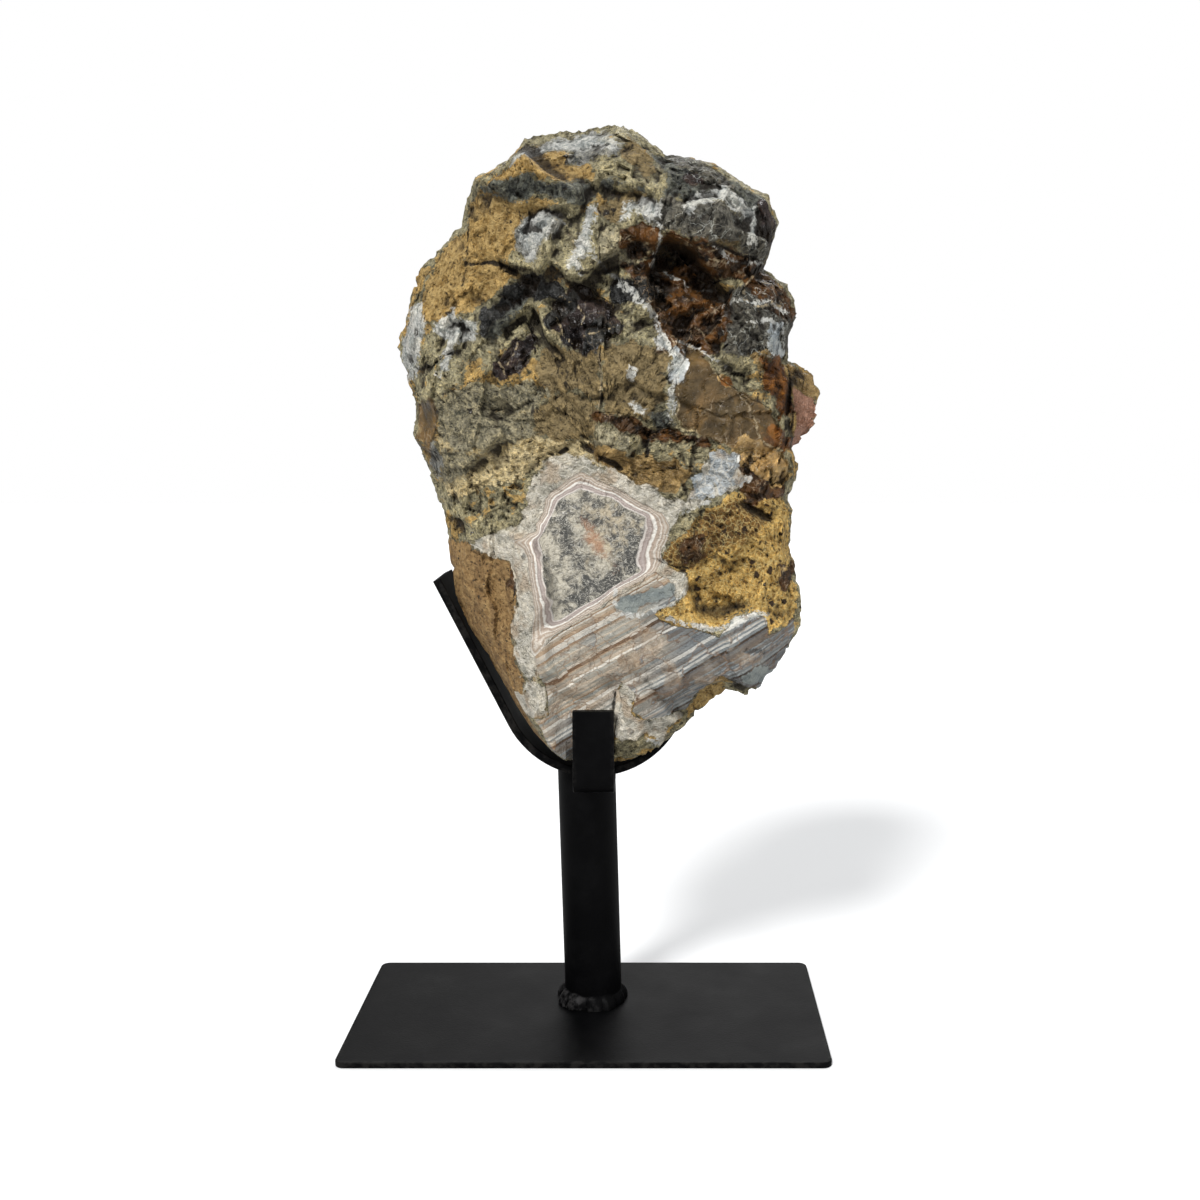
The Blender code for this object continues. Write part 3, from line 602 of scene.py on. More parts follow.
class StandSettings(bpy.types.PropertyGroup):
    """Sizes and paint of the stand."""

    edge_radius: length_setting("Edge radius", "Rounding of the bars' long edges", 0.6 * MM)
    plate_corner: length_setting("Plate corner", "Radius of the base plate's corners", 4.5 * MM)
    plate_edge: length_setting("Plate edge", "Rounding of the base plate's rim", 0.5 * MM)
    bead_reach: length_setting("Weld reach", "How far the bead stands out of the post", 4.2 * MM)
    paint: color_setting("Paint", "Matt black paint", (0.001, 0.001, 0.0012))
    # Lighter colour on the stand's edges: partly worn paint, partly painted highlight
    worn: color_setting("Worn paint and highlight", "Paint rubbed thin on edges, with a painted highlight", (0.014, 0.013, 0.012))
    weld: color_setting("Weld", "Bare weld metal and scale", (0.022, 0.021, 0.021))


class StageSettings(bpy.types.PropertyGroup):
    """Floor and camera."""

    floor_half: length_setting("Floor half width", "Half the width of the floor", 4.0)
    floor_paint: color_setting("Floor", "Pale floor", (0.93, 0.93, 0.93))
    camera_place: FloatVectorProperty(
        name="Camera place", description="Where the camera stands", unit="LENGTH",
        default=(0.0345, -0.6719, 0.312),
    )
    camera_pitch: FloatProperty(
        name="Camera pitch", description="How far the camera looks down", subtype="ANGLE",
        default=math.atan(187 / 1351),
    )
    camera_lens: FloatProperty(
        name="Lens", description="Focal length in millimetres on a 36 mm sensor", default=40.53
    )
    camera_shift: FloatProperty(
        name="Shift", description="Sideways shift of the frame", default=-0.0458
    )


# Numbers that repeat
def lattice(i, j, k, seed):
    """A repeatable value from -1 to 1 for every whole-number place, by mixing its bits."""
    n = (i * 73856093) ^ (j * 19349663) ^ (k * 83492791) ^ (seed * 50331653)
    n = ((n ^ (n >> 13)) * 1274126177) & 0xFFFFFFFF
    return ((n ^ (n >> 16)) & 0xFFFF) / 32767.5 - 1


def smooth_noise(points, size, seed):
    """Soft lumps from -1 to 1: the eight lattice values around a point, blended on each axis."""
    place = points / size
    low = np.floor(place).astype(np.int64)
    part = place - low
    part = part * part * (3 - 2 * part)
    total = 0
    for corner in np.ndindex(2, 2, 2):
        weight = np.prod(np.where(corner, part, 1 - part), axis=-1)
        total = total + weight * lattice(*(low + corner).T, seed)
    return total


def nearest_seed(points, size, seed):
    """Seeds scattered one to a cell: nearest distance, way from it, its cell, next distance."""
    place = points / size
    cell = np.floor(place).astype(np.int64)
    best = np.full(len(points), 9.0)
    second = best.copy()
    offset = np.zeros_like(place)
    owner = np.zeros_like(cell)
    for corner in np.ndindex(3, 3, 3):
        near = cell + corner - 1
        scatter = np.stack([lattice(*near.T, seed + n) for n in range(3)], axis=1)
        away = place - (near + 0.5 + 0.4 * scatter)
        distance = np.linalg.norm(away, axis=1)
        closer = distance < best
        second = np.where(closer, best, np.minimum(second, distance))
        best = np.where(closer, distance, best)
        offset = np.where(closer[:, None], away, offset)
        owner = np.where(closer[:, None], near, owner)
    return best, offset, owner, second


def chips(points, size, seed, lift=0.6, lean=0.8):
    """Flat chips at random tilts: a plane through each seed, kept where that seed is nearest."""
    _, away, owner, _ = nearest_seed(points, size, seed)
    tilt = np.stack([lattice(*owner.T, seed + n) for n in range(3, 6)], axis=1)
    return lift * lattice(*owner.T, seed + 6) + lean * (tilt * away).sum(axis=1)


def seams(points, size, seed, half):
    """1 on the seams between chips, 0 beyond a half width: how near the two nearest seeds tie."""
    best, _, _, second = nearest_seed(points, size, seed)
    return np.clip(1 - (second - best) * size / 2 / half, 0, 1)


def pits(points, size, seed):
    """Round pits, 1 in the middle and 0 between: bowls about scattered seeds, some left out."""
    distance, _, owner, _ = nearest_seed(points, size, seed)
    reach = 0.28 + 0.22 * lattice(*owner.T, seed + 7)
    return np.clip(1 - (distance / np.maximum(reach, 0.05)) ** 2, 0, 1)


# Outlines
def along(outline, step):
    """Points on a closed outline, its corners kept and each side cut into even steps."""
    corners = np.array(outline, float)
    points = []
    for a, b in zip(corners, np.roll(corners, -1, axis=0)):
        count = max(1, round(math.dist(a, b) / step))
        points.append(a + (b - a) * (np.arange(count) / count)[:, None])
    return np.concatenate(points)


def reach_at(outline, turn):
    """Distance from the stone's centre to a closed outline in each direction."""
    ring = along(outline, 1.0) - STONE_CENTRE
    angles = np.arctan2(ring[:, 1], ring[:, 0])
    order = np.argsort(angles)
    reach = np.hypot(ring[:, 0], ring[:, 1])
    return np.interp(turn, angles[order], reach[order], period=math.tau)


def distance_to_line(x, z, points):
    """Distance to an open line: the least distance to any of its stretches."""
    best = np.full(x.shape, 1e9)
    for (ax, az), (bx, bz) in zip(points, points[1:]):
        dx, dz = bx - ax, bz - az
        share = np.clip(((x - ax) * dx + (z - az) * dz) / (dx * dx + dz * dz), 0, 1)
        best = np.minimum(best, np.hypot(x - ax - share * dx, z - az - share * dz))
    return best


def distance_to_patch(x, z, corners):
    """Distance to a closed patch, negative inside: line distance, its sign from edge crossings."""
    closed = (*corners, corners[0])
    inside = np.zeros(x.shape, bool)
    for (ax, az), (bx, bz) in zip(closed, closed[1:]):
        crosses = (az > z) != (bz > z)
        rise = np.where(bz == az, 1, bz - az)
        inside ^= crosses & (x < ax + (z - az) * (bx - ax) / rise)
    distance = distance_to_line(x, z, closed)
    return np.where(inside, -distance, distance)


# Shape of the stone, in millimetres
def broken_front(x, z):
    """Depth of the broken front: the nearest face wins, and neighbours meet in a short step."""
    flat = np.stack([x, np.zeros_like(x), z], axis=1)
    wandered_x = x + FACE_WANDER * smooth_noise(flat, FACE_WANDER_SIZE, 1)
    wandered_z = z + FACE_WANDER * smooth_noise(flat, FACE_WANDER_SIZE, 2)
    faces = np.array(FACES, float)
    dx = x[:, None] - faces[:, 0]
    dz = z[:, None] - faces[:, 1]
    away = np.hypot(wandered_x[:, None] - faces[:, 0], wandered_z[:, None] - faces[:, 1])
    weight = np.exp((away.min(axis=1, keepdims=True) - away) / FACE_BLEND)
    depth = faces[:, 2] + faces[:, 3] * dx + faces[:, 4] * dz
    y = (weight * depth).sum(axis=1) / weight.sum(axis=1)
    for cx, cz, radius, deep in HOLLOWS:
        y = y + deep * np.exp(-((x - cx) ** 2 + (z - cz) ** 2) / radius**2)
    return y


def calm(x, z):
    """How calm the surface is: 0 on rough rock, CALM_SHARE in an oval on the banded face."""
    across = ((x - CALM_MIDDLE[0]) / CALM_REACH[0]) ** 2
    up = ((z - CALM_MIDDLE[1]) / CALM_REACH[1]) ** 2
    return CALM_SHARE * np.clip(CALM_FADE * (1 - across - up), 0, 1)


def overhang(turn):
    """1 where the stone hangs in front of the strap's right arm, 0 elsewhere."""
    low, high, soft = np.radians(OVERHANG)
    rise = np.clip((turn - low) / soft, 0, 1)
    fall = np.clip((high - turn) / soft, 0, 1)
    return np.minimum(rise, fall)


def rounded(distance, radius):
    """Goes from 0 at an edge to 1 a radius inside it, along a blunt curve."""
    share = np.clip(distance / radius, 0, 1)
    return (1 - (1 - share) ** ROUNDING_POWER) ** (1 / ROUNDING_POWER)


def ring_at(reach, outward, y):
    """Points at a distance from the stone's middle line, at depth y."""
    ring = outward * reach[:, None]
    ring[:, 0] += STONE_CENTRE[0]
    ring[:, 1] = y
    ring[:, 2] += STONE_CENTRE[1]
    return ring


def large_chips(points, lift=0):
    """Height of the large chips: their layers added up, each raised by a lift."""
    return sum(height * (lift + chips(points, size, seed)) for size, height, seed in CHIPS)


def behind_clip(points):
    """Keep points behind the clip's inner face, less and less strictly away from it."""
    seat = (CLIP_LOW.y + BAR_THICKNESS + STONE_GAP) / MM + CLIP_SEAT
    middle = (CLIP_LOW.x + CLIP_HIGH.x) / 2 / MM
    half = (CLIP_HIGH.x - CLIP_LOW.x) / 2 / MM
    beside = np.abs(points[:, 0] - middle) - half - CLIP_CLEARANCE
    above = points[:, 2] - CLIP_HIGH.z / MM - CLIP_CLEARANCE
    clear = np.maximum(np.maximum(beside, above), 0)
    made = points.copy()
    made[:, 1] = np.maximum(points[:, 1], seat - CLIP_EASE * clear)
    return made


class Stone:
    """The stone's surface as rings of points: middle of the front, girth, polished back."""

    def __init__(self, settings):
        self.settings = settings
        edge = along(OUTLINE, STONE_STEP)
        offset = edge - STONE_CENTRE
        self.turn = np.arctan2(offset[:, 1], offset[:, 0])
        self.count = len(edge)
        self.front_reach = np.hypot(offset[:, 0], offset[:, 1])
        self.back_reach = reach_at(BACK_OUTLINE, self.turn)
        hung = overhang(self.turn)
        flat = np.zeros(self.count)
        ring = np.stack([edge[:, 0], flat, edge[:, 1]], axis=1)
        wander = GIRTH_WANDER * smooth_noise(ring, 28, 41)
        wander = wander * np.clip((edge[:, 1] - GIRTH_STEADY_Z) / 30, 0, 1)
        behind = GIRTH_Y + BEHIND_GIRTH
        self.girth = GIRTH_Y + wander + (OVERHANG_GIRTH_Y - GIRTH_Y) * hung
        self.behind = behind + wander + (OVERHANG_BEHIND_Y - behind) * hung
        self.outward = np.stack([np.cos(self.turn), flat, np.sin(self.turn)], axis=1)
        self.masks = {}
        front, inward = self.front()
        side, rim = self.side()
        self.front_total = len(front)
        self.points = np.concatenate([front, side])
        self.inward = np.concatenate([inward, np.zeros(len(side))])
        self.rim = np.concatenate([np.zeros(len(front)), rim])
        self.radial = np.tile(self.outward, (len(self.points) // self.count, 1))
        self.mark_minerals()
        self.roughen()

    def front(self):
        """Rings from the middle out to the girth, pushed out to the broken faces and chipped."""
        rings, shares = [], []
        for share in np.linspace(0, 1, FRONT_RINGS)[1:]:
            reach = self.front_reach * (1 - (1 - share) ** RING_CROWDING)
            rings.append(ring_at(reach, self.outward, self.girth))
            shares.append(rounded(self.front_reach - reach, ROUNDING))
        points, inward = np.concatenate(rings), np.concatenate(shares)
        girth = np.tile(self.girth, FRONT_RINGS - 1)
        outward = np.tile(self.outward, (FRONT_RINGS - 1, 1))
        points[:, 1] += (broken_front(points[:, 0], points[:, 2]) - girth) * inward
        bump = large_chips(points) * (1 - calm(points[:, 0], points[:, 2]))
        points[:, 1] -= bump * inward
        points -= outward * (0.5 * np.abs(bump) * (1 - inward))[:, None]
        return behind_clip(points), inward

    def side(self):
        """Rings round the side, chipped inwards, then across the back, each with its way in."""
        rings, rims = [], []
        for share in np.linspace(0, 1, SIDE_RINGS):
            inset = ROUNDING * share**2
            depth = rounded(np.full(self.count, inset), ROUNDING)
            y = self.behind + (POLISHED_Y - self.behind) * depth
            rings.append(ring_at(self.back_reach - inset, self.outward, y))
            rims.append(np.zeros(self.count))
        points = np.concatenate(rings)
        outward = np.tile(self.outward, (SIDE_RINGS, 1))
        behind = np.clip((POLISHED_Y - points[:, 1]) / CHIP_FADE, 0, 1)
        fade = behind * np.clip((points[:, 1] - CHIPPED_FROM_Y) / CHIP_FADE, 0, 1)
        points -= outward * (large_chips(points, 1) * fade)[:, None]
        across = []
        flat = np.full(self.count, float(POLISHED_Y))
        for share in np.linspace(0, 1, BACK_RINGS + 1)[1:-1]:
            inner = self.back_reach - ROUNDING
            across.append(ring_at(inner * (1 - share), self.outward, flat))
            rims.append(inner * share)
        return np.concatenate([points, *across]), np.concatenate(rims)

    def mark_minerals(self):
        """Masks: 1 well inside a mineral's patches, 0 outside, one half on their wandering edge."""
        points, masks = self.points, self.masks
        wander = [
            smooth_noise(points, 8, seed) + 0.6 * smooth_noise(points, 3.5, seed + 1)
            for seed in (51, 53)
        ]

        def place(reach):
            return points[:, 0] + reach * wander[0], points[:, 2] + reach * wander[1]

        fade = 9 * smooth_noise(points, 15, 57) + 4 * smooth_noise(points, 6, 58)
        fade = (FRONT_END_Y + fade - points[:, 1]) / FRONT_FADE
        seen = np.clip(fade, 0, 1) * (points[:, 1] < FRONT_LAST_Y)
        exact, loose, lined = place(EXACT_WANDER), place(PATCH_WANDER), place(LINE_WANDER)
        for name, patches in PATCHES.items():
            spot = exact if name in EXACT_PATCHES else loose
            distance = np.min([distance_to_patch(*spot, patch) for patch in patches], axis=0)
            masks[name] = np.clip(0.5 - distance / (2 * PATCH_SOFTNESS), 0, 1) * seen
        for name, lines in (("vein", VEINS), ("crack", SHADED_CRACKS), ("edge", EDGE_HIGHLIGHTS)):
            depth = np.max([half - distance_to_line(*lined, line) for half, line in lines], axis=0)
            masks[name] = seen * np.clip(0.5 + depth / LINE_SOFTNESS, 0, 1)
        inner = np.maximum(distance_to_patch(*exact, PATCHES["heart"][0]), 0)
        outer = np.maximum(-distance_to_patch(*exact, PATCHES["fortified"][0]), 0)
        masks["band_share"] = inner / np.maximum(inner + outer, 1e-6)
        masks["front"] = seen
        masks["polished"] = (self.rim > 0).astype(float)
        masks["rim"] = self.rim / 100

    def weighed(self, shares):
        """Masks added up, each times its share."""
        return sum(share * self.masks[name] for name, share in shares.items())

    def roughen(self):
        """Chips, grain, pits, steps and raised or sunken minerals: along Y or inwards."""
        s, points, masks = self.settings, self.points, self.masks
        banded = np.maximum(masks["heart"], masks["fortified"])
        smooth = np.clip(banded + self.weighed(SMOOTHED), 0, MOST_SMOOTHED)
        open_rock = 1 - smooth
        dark = np.maximum(masks["brown"], np.maximum(masks["glassy"], masks["slate"]))
        warp = np.stack([smooth_noise(points, 7, seed) for seed in (61, 62, 63)], axis=1)
        bent = points + SMALL_CHIP_BEND * warp
        bump = sum(height * chips(bent, *shape) for height, *shape in SMALL_CHIPS)
        bump = bump * s.chip_height / MM * (1 + 0.6 * dark)
        grain = smooth_noise(points, 2.6, 90) + smooth_noise(points, 1.5, 91)
        patchy = np.clip(2.2 * smooth_noise(points, 17, 64), 0, 1)
        seam = seams(bent, 12, 60, SEAM_HALF) * patchy * open_rock
        bump = (bump + grain * s.grain_height / MM) * open_rock - SEAM_DEPTH * seam
        hole = np.maximum(masks["porous"], 0.6 * masks["ochre"]) * pits(points, 6.5, 110)
        hole = hole + masks["porous"] * pits(points, 3.4, 120)
        hole = hole + 0.5 * open_rock * pits(points, 9.0, 130)
        bump = bump + self.weighed(RAISED) - self.weighed(SUNKEN) - BANDED_SUNKEN * banded
        bump = bump - CRACK_DEPTH * np.clip(2 * masks["crack"] - 0.8, 0, 1)
        level = points[:, 2] * math.cos(SLOPE) - points[:, 0] * math.sin(SLOPE)
        layer = np.floor(level / BAND_STEP).astype(np.int64)
        steps = 0.25 * lattice(layer, 0 * layer, 1, 5) + 0.7 * chips(points, 13, 95, 0.5, 0.8)
        bump = bump + masks["waterline"] * steps - s.pit_depth / MM * np.clip(hole, 0, 1.3)
        rough = 1 - np.clip((points[:, 1] - POLISHED_Y + 8) / 8, 0, 1)
        bump = bump * rough
        notch = RIM_NOTCH * np.clip(chips(bent, 6, 150, 0.7, 1.2), 0, 1) * rough
        moved = points.copy()
        moved[:, 1] -= bump * self.inward
        inwards = (SIDE_RELIEF * np.abs(bump) + notch) * (1 - self.inward)
        moved -= self.radial * inwards[:, None]
        self.points = np.where((self.rim > 0)[:, None], points, behind_clip(moved))
        # Pit depth, painted dark in the shader as shade in the pits
        masks["sunk"] = np.clip(hole, 0, 1) * rough
        masks["seam"] = seam * rough
        # Dips and ridges, painted in the shader as shade and highlight
        masks["cavity"] = 0.5 + (self.cavity() - 0.5) * (1 - 0.85 * smooth)

    def cavity(self):
        """Above one half in dips, below it on ridges: depth less its own average nearby."""
        depth = self.points[:self.front_total, 1].reshape(-1, self.count)
        even = depth.copy()
        for _ in range(CAVITY_ROUNDS):
            even[1:-1] += 0.25 * (even[:-2] + even[2:] - 2 * even[1:-1])
            even += 0.25 * (np.roll(even, 1, axis=1) + np.roll(even, -1, axis=1) - 2 * even)
        dip = np.clip(0.5 + (depth - even).ravel() / CAVITY_RANGE, 0, 1)
        dip = 0.5 + (dip - 0.5) * np.clip(3 * self.inward[:self.front_total] - 1, 0, 1)
        return np.concatenate([dip, np.full(len(self.points) - self.front_total, 0.5)])


# Meshes
def ring_faces(rings, count):
    """Quads between neighbouring rings, and a fan of triangles at each end."""
    here = np.arange(count)
    there = (here + 1) % count
    level = (np.arange(rings - 1) * count)[:, None]
    quads = (level + here, level + there, level + count + there, level + count + here)
    quads = np.stack(quads, axis=-1).reshape(-1, 4)
    last = (rings - 1) * count
    start, end = rings * count, rings * count + 1
    first_fan = np.stack([np.full(count, start), there, here], axis=1)
    last_fan = np.stack([np.full(count, end), last + here, last + there], axis=1)
    return quads, np.concatenate([first_fan, last_fan])


def closed_mesh(name, rings, masks):
    """Mesh of rings of points, closed at both ends by a fan to the end ring's middle.

    Each mask becomes a point attribute.
    """
    ends = [rings[0].mean(axis=0), rings[-1].mean(axis=0)]
    points = np.concatenate([rings.reshape(-1, 3), ends])
    quads, fans = ring_faces(*rings.shape[:2])
    corners = np.concatenate([quads.ravel(), fans.ravel()])
    sizes = np.concatenate([np.full(len(quads), 4), np.full(len(fans), 3)])
    mesh = bpy.data.meshes.new(name)
    mesh.vertices.add(len(points))
    mesh.vertices.foreach_set("co", np.ascontiguousarray(points, np.float32).ravel())
    mesh.loops.add(len(corners))
    mesh.loops.foreach_set("vertex_index", corners.astype(np.int32))
    mesh.polygons.add(len(sizes))
    mesh.polygons.foreach_set("loop_start", (np.cumsum(sizes) - sizes).astype(np.int32))
    mesh.update(calc_edges=True)
    mesh.validate()
    for mask, values in masks.items():
        values = np.concatenate([values, [values[0], values[-1]]]).astype(np.float32)
        mesh.attributes.new(mask, "FLOAT", "POINT").data.foreach_set("value", values)
    return mesh


def new_object(name, data):
    """An object in the scene for a mesh, light or camera."""
    made = bpy.data.objects.new(name, data)
    bpy.context.scene.collection.objects.link(made)
    return made


def finish_piece(name, mesh, material, node):
    """Shade a mesh smooth but for its sharp edges, and let it ride in place of a solid."""
    mesh.polygons.foreach_set("use_smooth", np.ones(len(mesh.polygons), bool))
    mesh.set_sharp_from_angle(angle=SHARP_EDGE)
    mesh.materials.append(material)
    piece = new_object(name, mesh)
    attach(piece, "root")
    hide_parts(node)


# Materials
class Tree:
    """Short ways to add and link shader nodes in one tree."""

    def __init__(self, tree):
        self.tree = tree
        self.nodes = tree.nodes

    def put(self, socket, value):
        """Link a socket, or set its own value."""
        if isinstance(value, bpy.types.NodeSocket):
            self.tree.links.new(value, socket)
        elif value is not None:
            opaque = socket.type == "RGBA" and len(value) == 3
            socket.default_value = (*value, 1.0) if opaque else value

    def add(self, kind, inputs=None, **settings):
        """A node with its settings and inputs."""
        node = self.nodes.new(kind)
        for name, value in settings.items():
            setattr(node, name, value)
        for name, value in (inputs or {}).items():
            self.put(node.inputs[name], value)
        return node

    def group(self, tree, **inputs):
        """A node group's outputs."""
        return self.add("ShaderNodeGroup", inputs, node_tree=tree).outputs

    def math(self, operation, a, b=None, c=None):
        """One sum on numbers."""
        node = self.add("ShaderNodeMath", operation=operation)
        for socket, value in zip(node.inputs, (a, b, c)):
            self.put(socket, value)
        return node.outputs[0]

    def times(self, a, b):
        """One value times another."""
        return self.math("MULTIPLY", a, b)

    def larger(self, a, b):
        """The larger of two values."""
        return self.math("MAXIMUM", a, b)

    def jitter(self, value, noise, reach):
        """A value moved up and down by a noise about one half."""
        return self.math("MULTIPLY_ADD", self.math("SUBTRACT", noise, 0.5), reach, value)

    def mix_node(self, kind, factor, a, b, **settings):
        """Mix node for colours or numbers, whose sockets are found by their identifiers."""
        node = self.add("ShaderNodeMix", **settings)
        for name, value in (("Factor_Float", factor), (f"A_{kind}", a), (f"B_{kind}", b)):
            self.put(next(s for s in node.inputs if s.identifier == name), value)
        return next(s for s in node.outputs if s.identifier == f"Result_{kind}")

    def mix(self, factor, a, b, blend="MIX"):
        """Two colours mixed."""
        return self.mix_node("Color", factor, a, b, data_type="RGBA", blend_type=blend)

    def blend(self, factor, a, b):
        """Two numbers mixed."""
        return self.mix_node("Float", factor, a, b, data_type="FLOAT")

    def spread(self, value, low, high, to_low=0.0, to_high=1.0, kind="SMOOTHSTEP"):
        """A value's range from low to high spread over another range, and clamped there."""
        ranges = {"From Min": low, "From Max": high, "To Min": to_low, "To Max": to_high}
        node = self.add("ShaderNodeMapRange", {"Value": value, **ranges}, interpolation_type=kind)
        return node.outputs["Result"]

    def noise(self, vector, scale, detail=3.0, roughness=0.55):
        """Cloudy noise about one half."""
        inputs = {"Vector": vector, "Scale": scale, "Detail": detail, "Roughness": roughness}
        return self.add("ShaderNodeTexNoise", inputs).outputs["Fac"]

    def ramp(self, value, stops):
        """Colours along a value."""
        node = self.add("ShaderNodeValToRGB", {"Fac": value})
        elements = node.color_ramp.elements
        while len(elements) < len(stops):
            elements.new(0.5)
        for element, (place, shade) in zip(elements, stops):
            element.position = place
            element.color = (*shade, 1.0)
        return node.outputs["Color"]

    def vector(self, operation, a, b=None, c=None, output=0):
        """One sum on vectors."""
        inputs = dict(enumerate((a, b, c)))
        return self.add("ShaderNodeVectorMath", inputs, operation=operation).outputs[output]

    def axis(self, vector, name):
        """One part of a vector or colour."""
        return self.add("ShaderNodeSeparateXYZ", {"Vector": vector}).outputs[name]

    def warp(self, vector, scale, reach):
        """Places pushed about by a colour noise."""
        inputs = {"Vector": vector, "Scale": scale, "Detail": 2.0}
        swirl = self.add("ShaderNodeTexNoise", inputs).outputs["Color"]
        return self.vector("MULTIPLY_ADD", swirl, (reach,) * 3, vector)

    def scaled(self, vector, size):
        """Places scaled on each axis."""
        return self.add("ShaderNodeMapping", {"Vector": vector, "Scale": size}).outputs[0]

    def turned(self, vector, turn):
        """Places turned about Y."""
        inputs = {"Vector": vector, "Rotation": (0.0, turn, 0.0)}
        return self.add("ShaderNodeMapping", inputs).outputs[0]

    def layers(self, level, scale):
        """Layers of random height and tone along a level."""
        inputs = {"W": level, "Scale": scale}
        node = self.add("ShaderNodeTexVoronoi", inputs, voronoi_dimensions="1D")
        return self.axis(node.outputs["Color"], "X")

    def cells(self, vector, scale, feature="F1"):
        """Random cells."""
        inputs = {"Vector": vector, "Scale": scale}
        return self.add("ShaderNodeTexVoronoi", inputs, feature=feature).outputs

    def walls(self, vector, scale):
        """Distance to the nearest wall between random cells."""
        return self.cells(vector, scale, "DISTANCE_TO_EDGE")["Distance"]

    def mask(self, name):
        """A mask painted on the mesh."""
        return self.add("ShaderNodeAttribute", attribute_name=name).outputs["Fac"]


def new_group(name, inputs, outputs):
    """An empty node group with the named sockets, its tree, and its inputs and outputs."""
    group = bpy.data.node_groups.new(name, "ShaderNodeTree")
    for direction, sockets in (("INPUT", inputs), ("OUTPUT", outputs)):
        for socket, kind in sockets.items():
            group.interface.new_socket(socket, in_out=direction, socket_type=f"NodeSocket{kind}")
    tree = Tree(group)
    return group, tree, tree.add("NodeGroupInput").outputs, tree.add("NodeGroupOutput").inputs


def mineral_group():
    """Lays one mineral over what is below: grain breaks up its edge, colour runs with it, and shade
    is painted just outside it.
    """
    group, t, given, made = new_group(
        "Mineral over rock",
        {"Below": "Color", "Mask": "Float", "Grain": "Float", "Blotch": "Float",
         "Dark": "Color", "Light": "Color"},
        {"Color": "Color", "Mask": "Float"},
    )
    ragged = t.math("MULTIPLY_ADD", given["Blotch"], 1.5, given["Mask"])
    ragged = t.math("MULTIPLY_ADD", given["Grain"], 0.9, ragged)
    mask = t.spread(ragged, 1.64, 1.78)
    # A thin band just outside the mineral, darkened below it as a painted contact shadow
    rim = t.math("SUBTRACT", t.spread(ragged, 1.54, 1.64), mask)
    below = t.mix(t.times(rim, 0.4), given["Below"], (0.02, 0.015, 0.01))
    tone = t.times(t.math("ADD", given["Blotch"], given["Grain"]), 0.5)
    shade = t.mix(t.spread(tone, 0.35, 0.635), given["Dark"], given["Light"])
    t.put(made["Color"], t.mix(mask, below, shade))
    t.put(made["Mask"], mask)
    return group


def waterline_group():
    """Straight layers, laid level when the stone was tilted: warm at the left, then blue-grey."""
    group, t, given, made = new_group("Waterline bands", {"Vector": "Vector"}, {"Color": "Color"})
    vector = given["Vector"]
    bent = t.warp(vector, 120.0, 0.020)
    flake = t.cells(bent, 48.0)["Color"]
    level = t.axis(t.turned(vector, SLOPE), "Z")
    level = t.math("MULTIPLY_ADD", t.noise(vector, 45.0, 2.0), 0.0014, level)
    level = t.math("MULTIPLY_ADD", t.noise(vector, 500.0, 2.0), 0.0004, level)
    level = t.math("MULTIPLY_ADD", t.axis(flake, "X"), 0.0018, level)
    thick, thin = t.layers(level, 330.0), t.layers(level, 1050.0)
    tone = t.math("MULTIPLY_ADD", thick, 0.52, t.times(thin, 0.48))
    tone = t.jitter(tone, t.noise(vector, 60.0, 2.0), 0.15)
    across = t.math("SUBTRACT", 0.2, t.axis(vector, "Z"))
    across = t.math("MULTIPLY_ADD", across, 0.4, t.axis(vector, "X"))
    across = t.jitter(across, t.axis(flake, "Y"), 0.05)
    warm, cool = t.ramp(tone, WARM_BANDS), t.ramp(tone, COOL_BANDS)
    color = t.mix(t.spread(across, 0.010, 0.034), warm, cool)
    color = t.mix(t.spread(thin, 0.84, 0.88, 0.0, 0.55), color, (0.70, 0.665, 0.59))
    edge = t.times(t.spread(t.walls(bent, 48.0), 0.035, 0.0), 0.55)
    color = t.mix(edge, color, (0.19, 0.11, 0.06))
    haze = t.spread(t.noise(vector, 90.0, 3.0), 0.54, 0.72, 0.0, 0.22)
    t.put(made["Color"], t.mix(haze, color, (0.47, 0.43, 0.36)))
    return group


def wall_band_group():
    """Bands that follow the quartz heart, by share of the way out: white lines on mauve."""
    group, t, given, made = new_group(
        "Wall bands", {"Share": "Float", "Vector": "Vector"}, {"Color": "Color"}
    )
    share = t.jitter(given["Share"], t.noise(given["Vector"], 330.0, 3.0, 0.6), 0.16)
    t.put(made["Color"], t.ramp(share, WALL_BANDS))
    return group


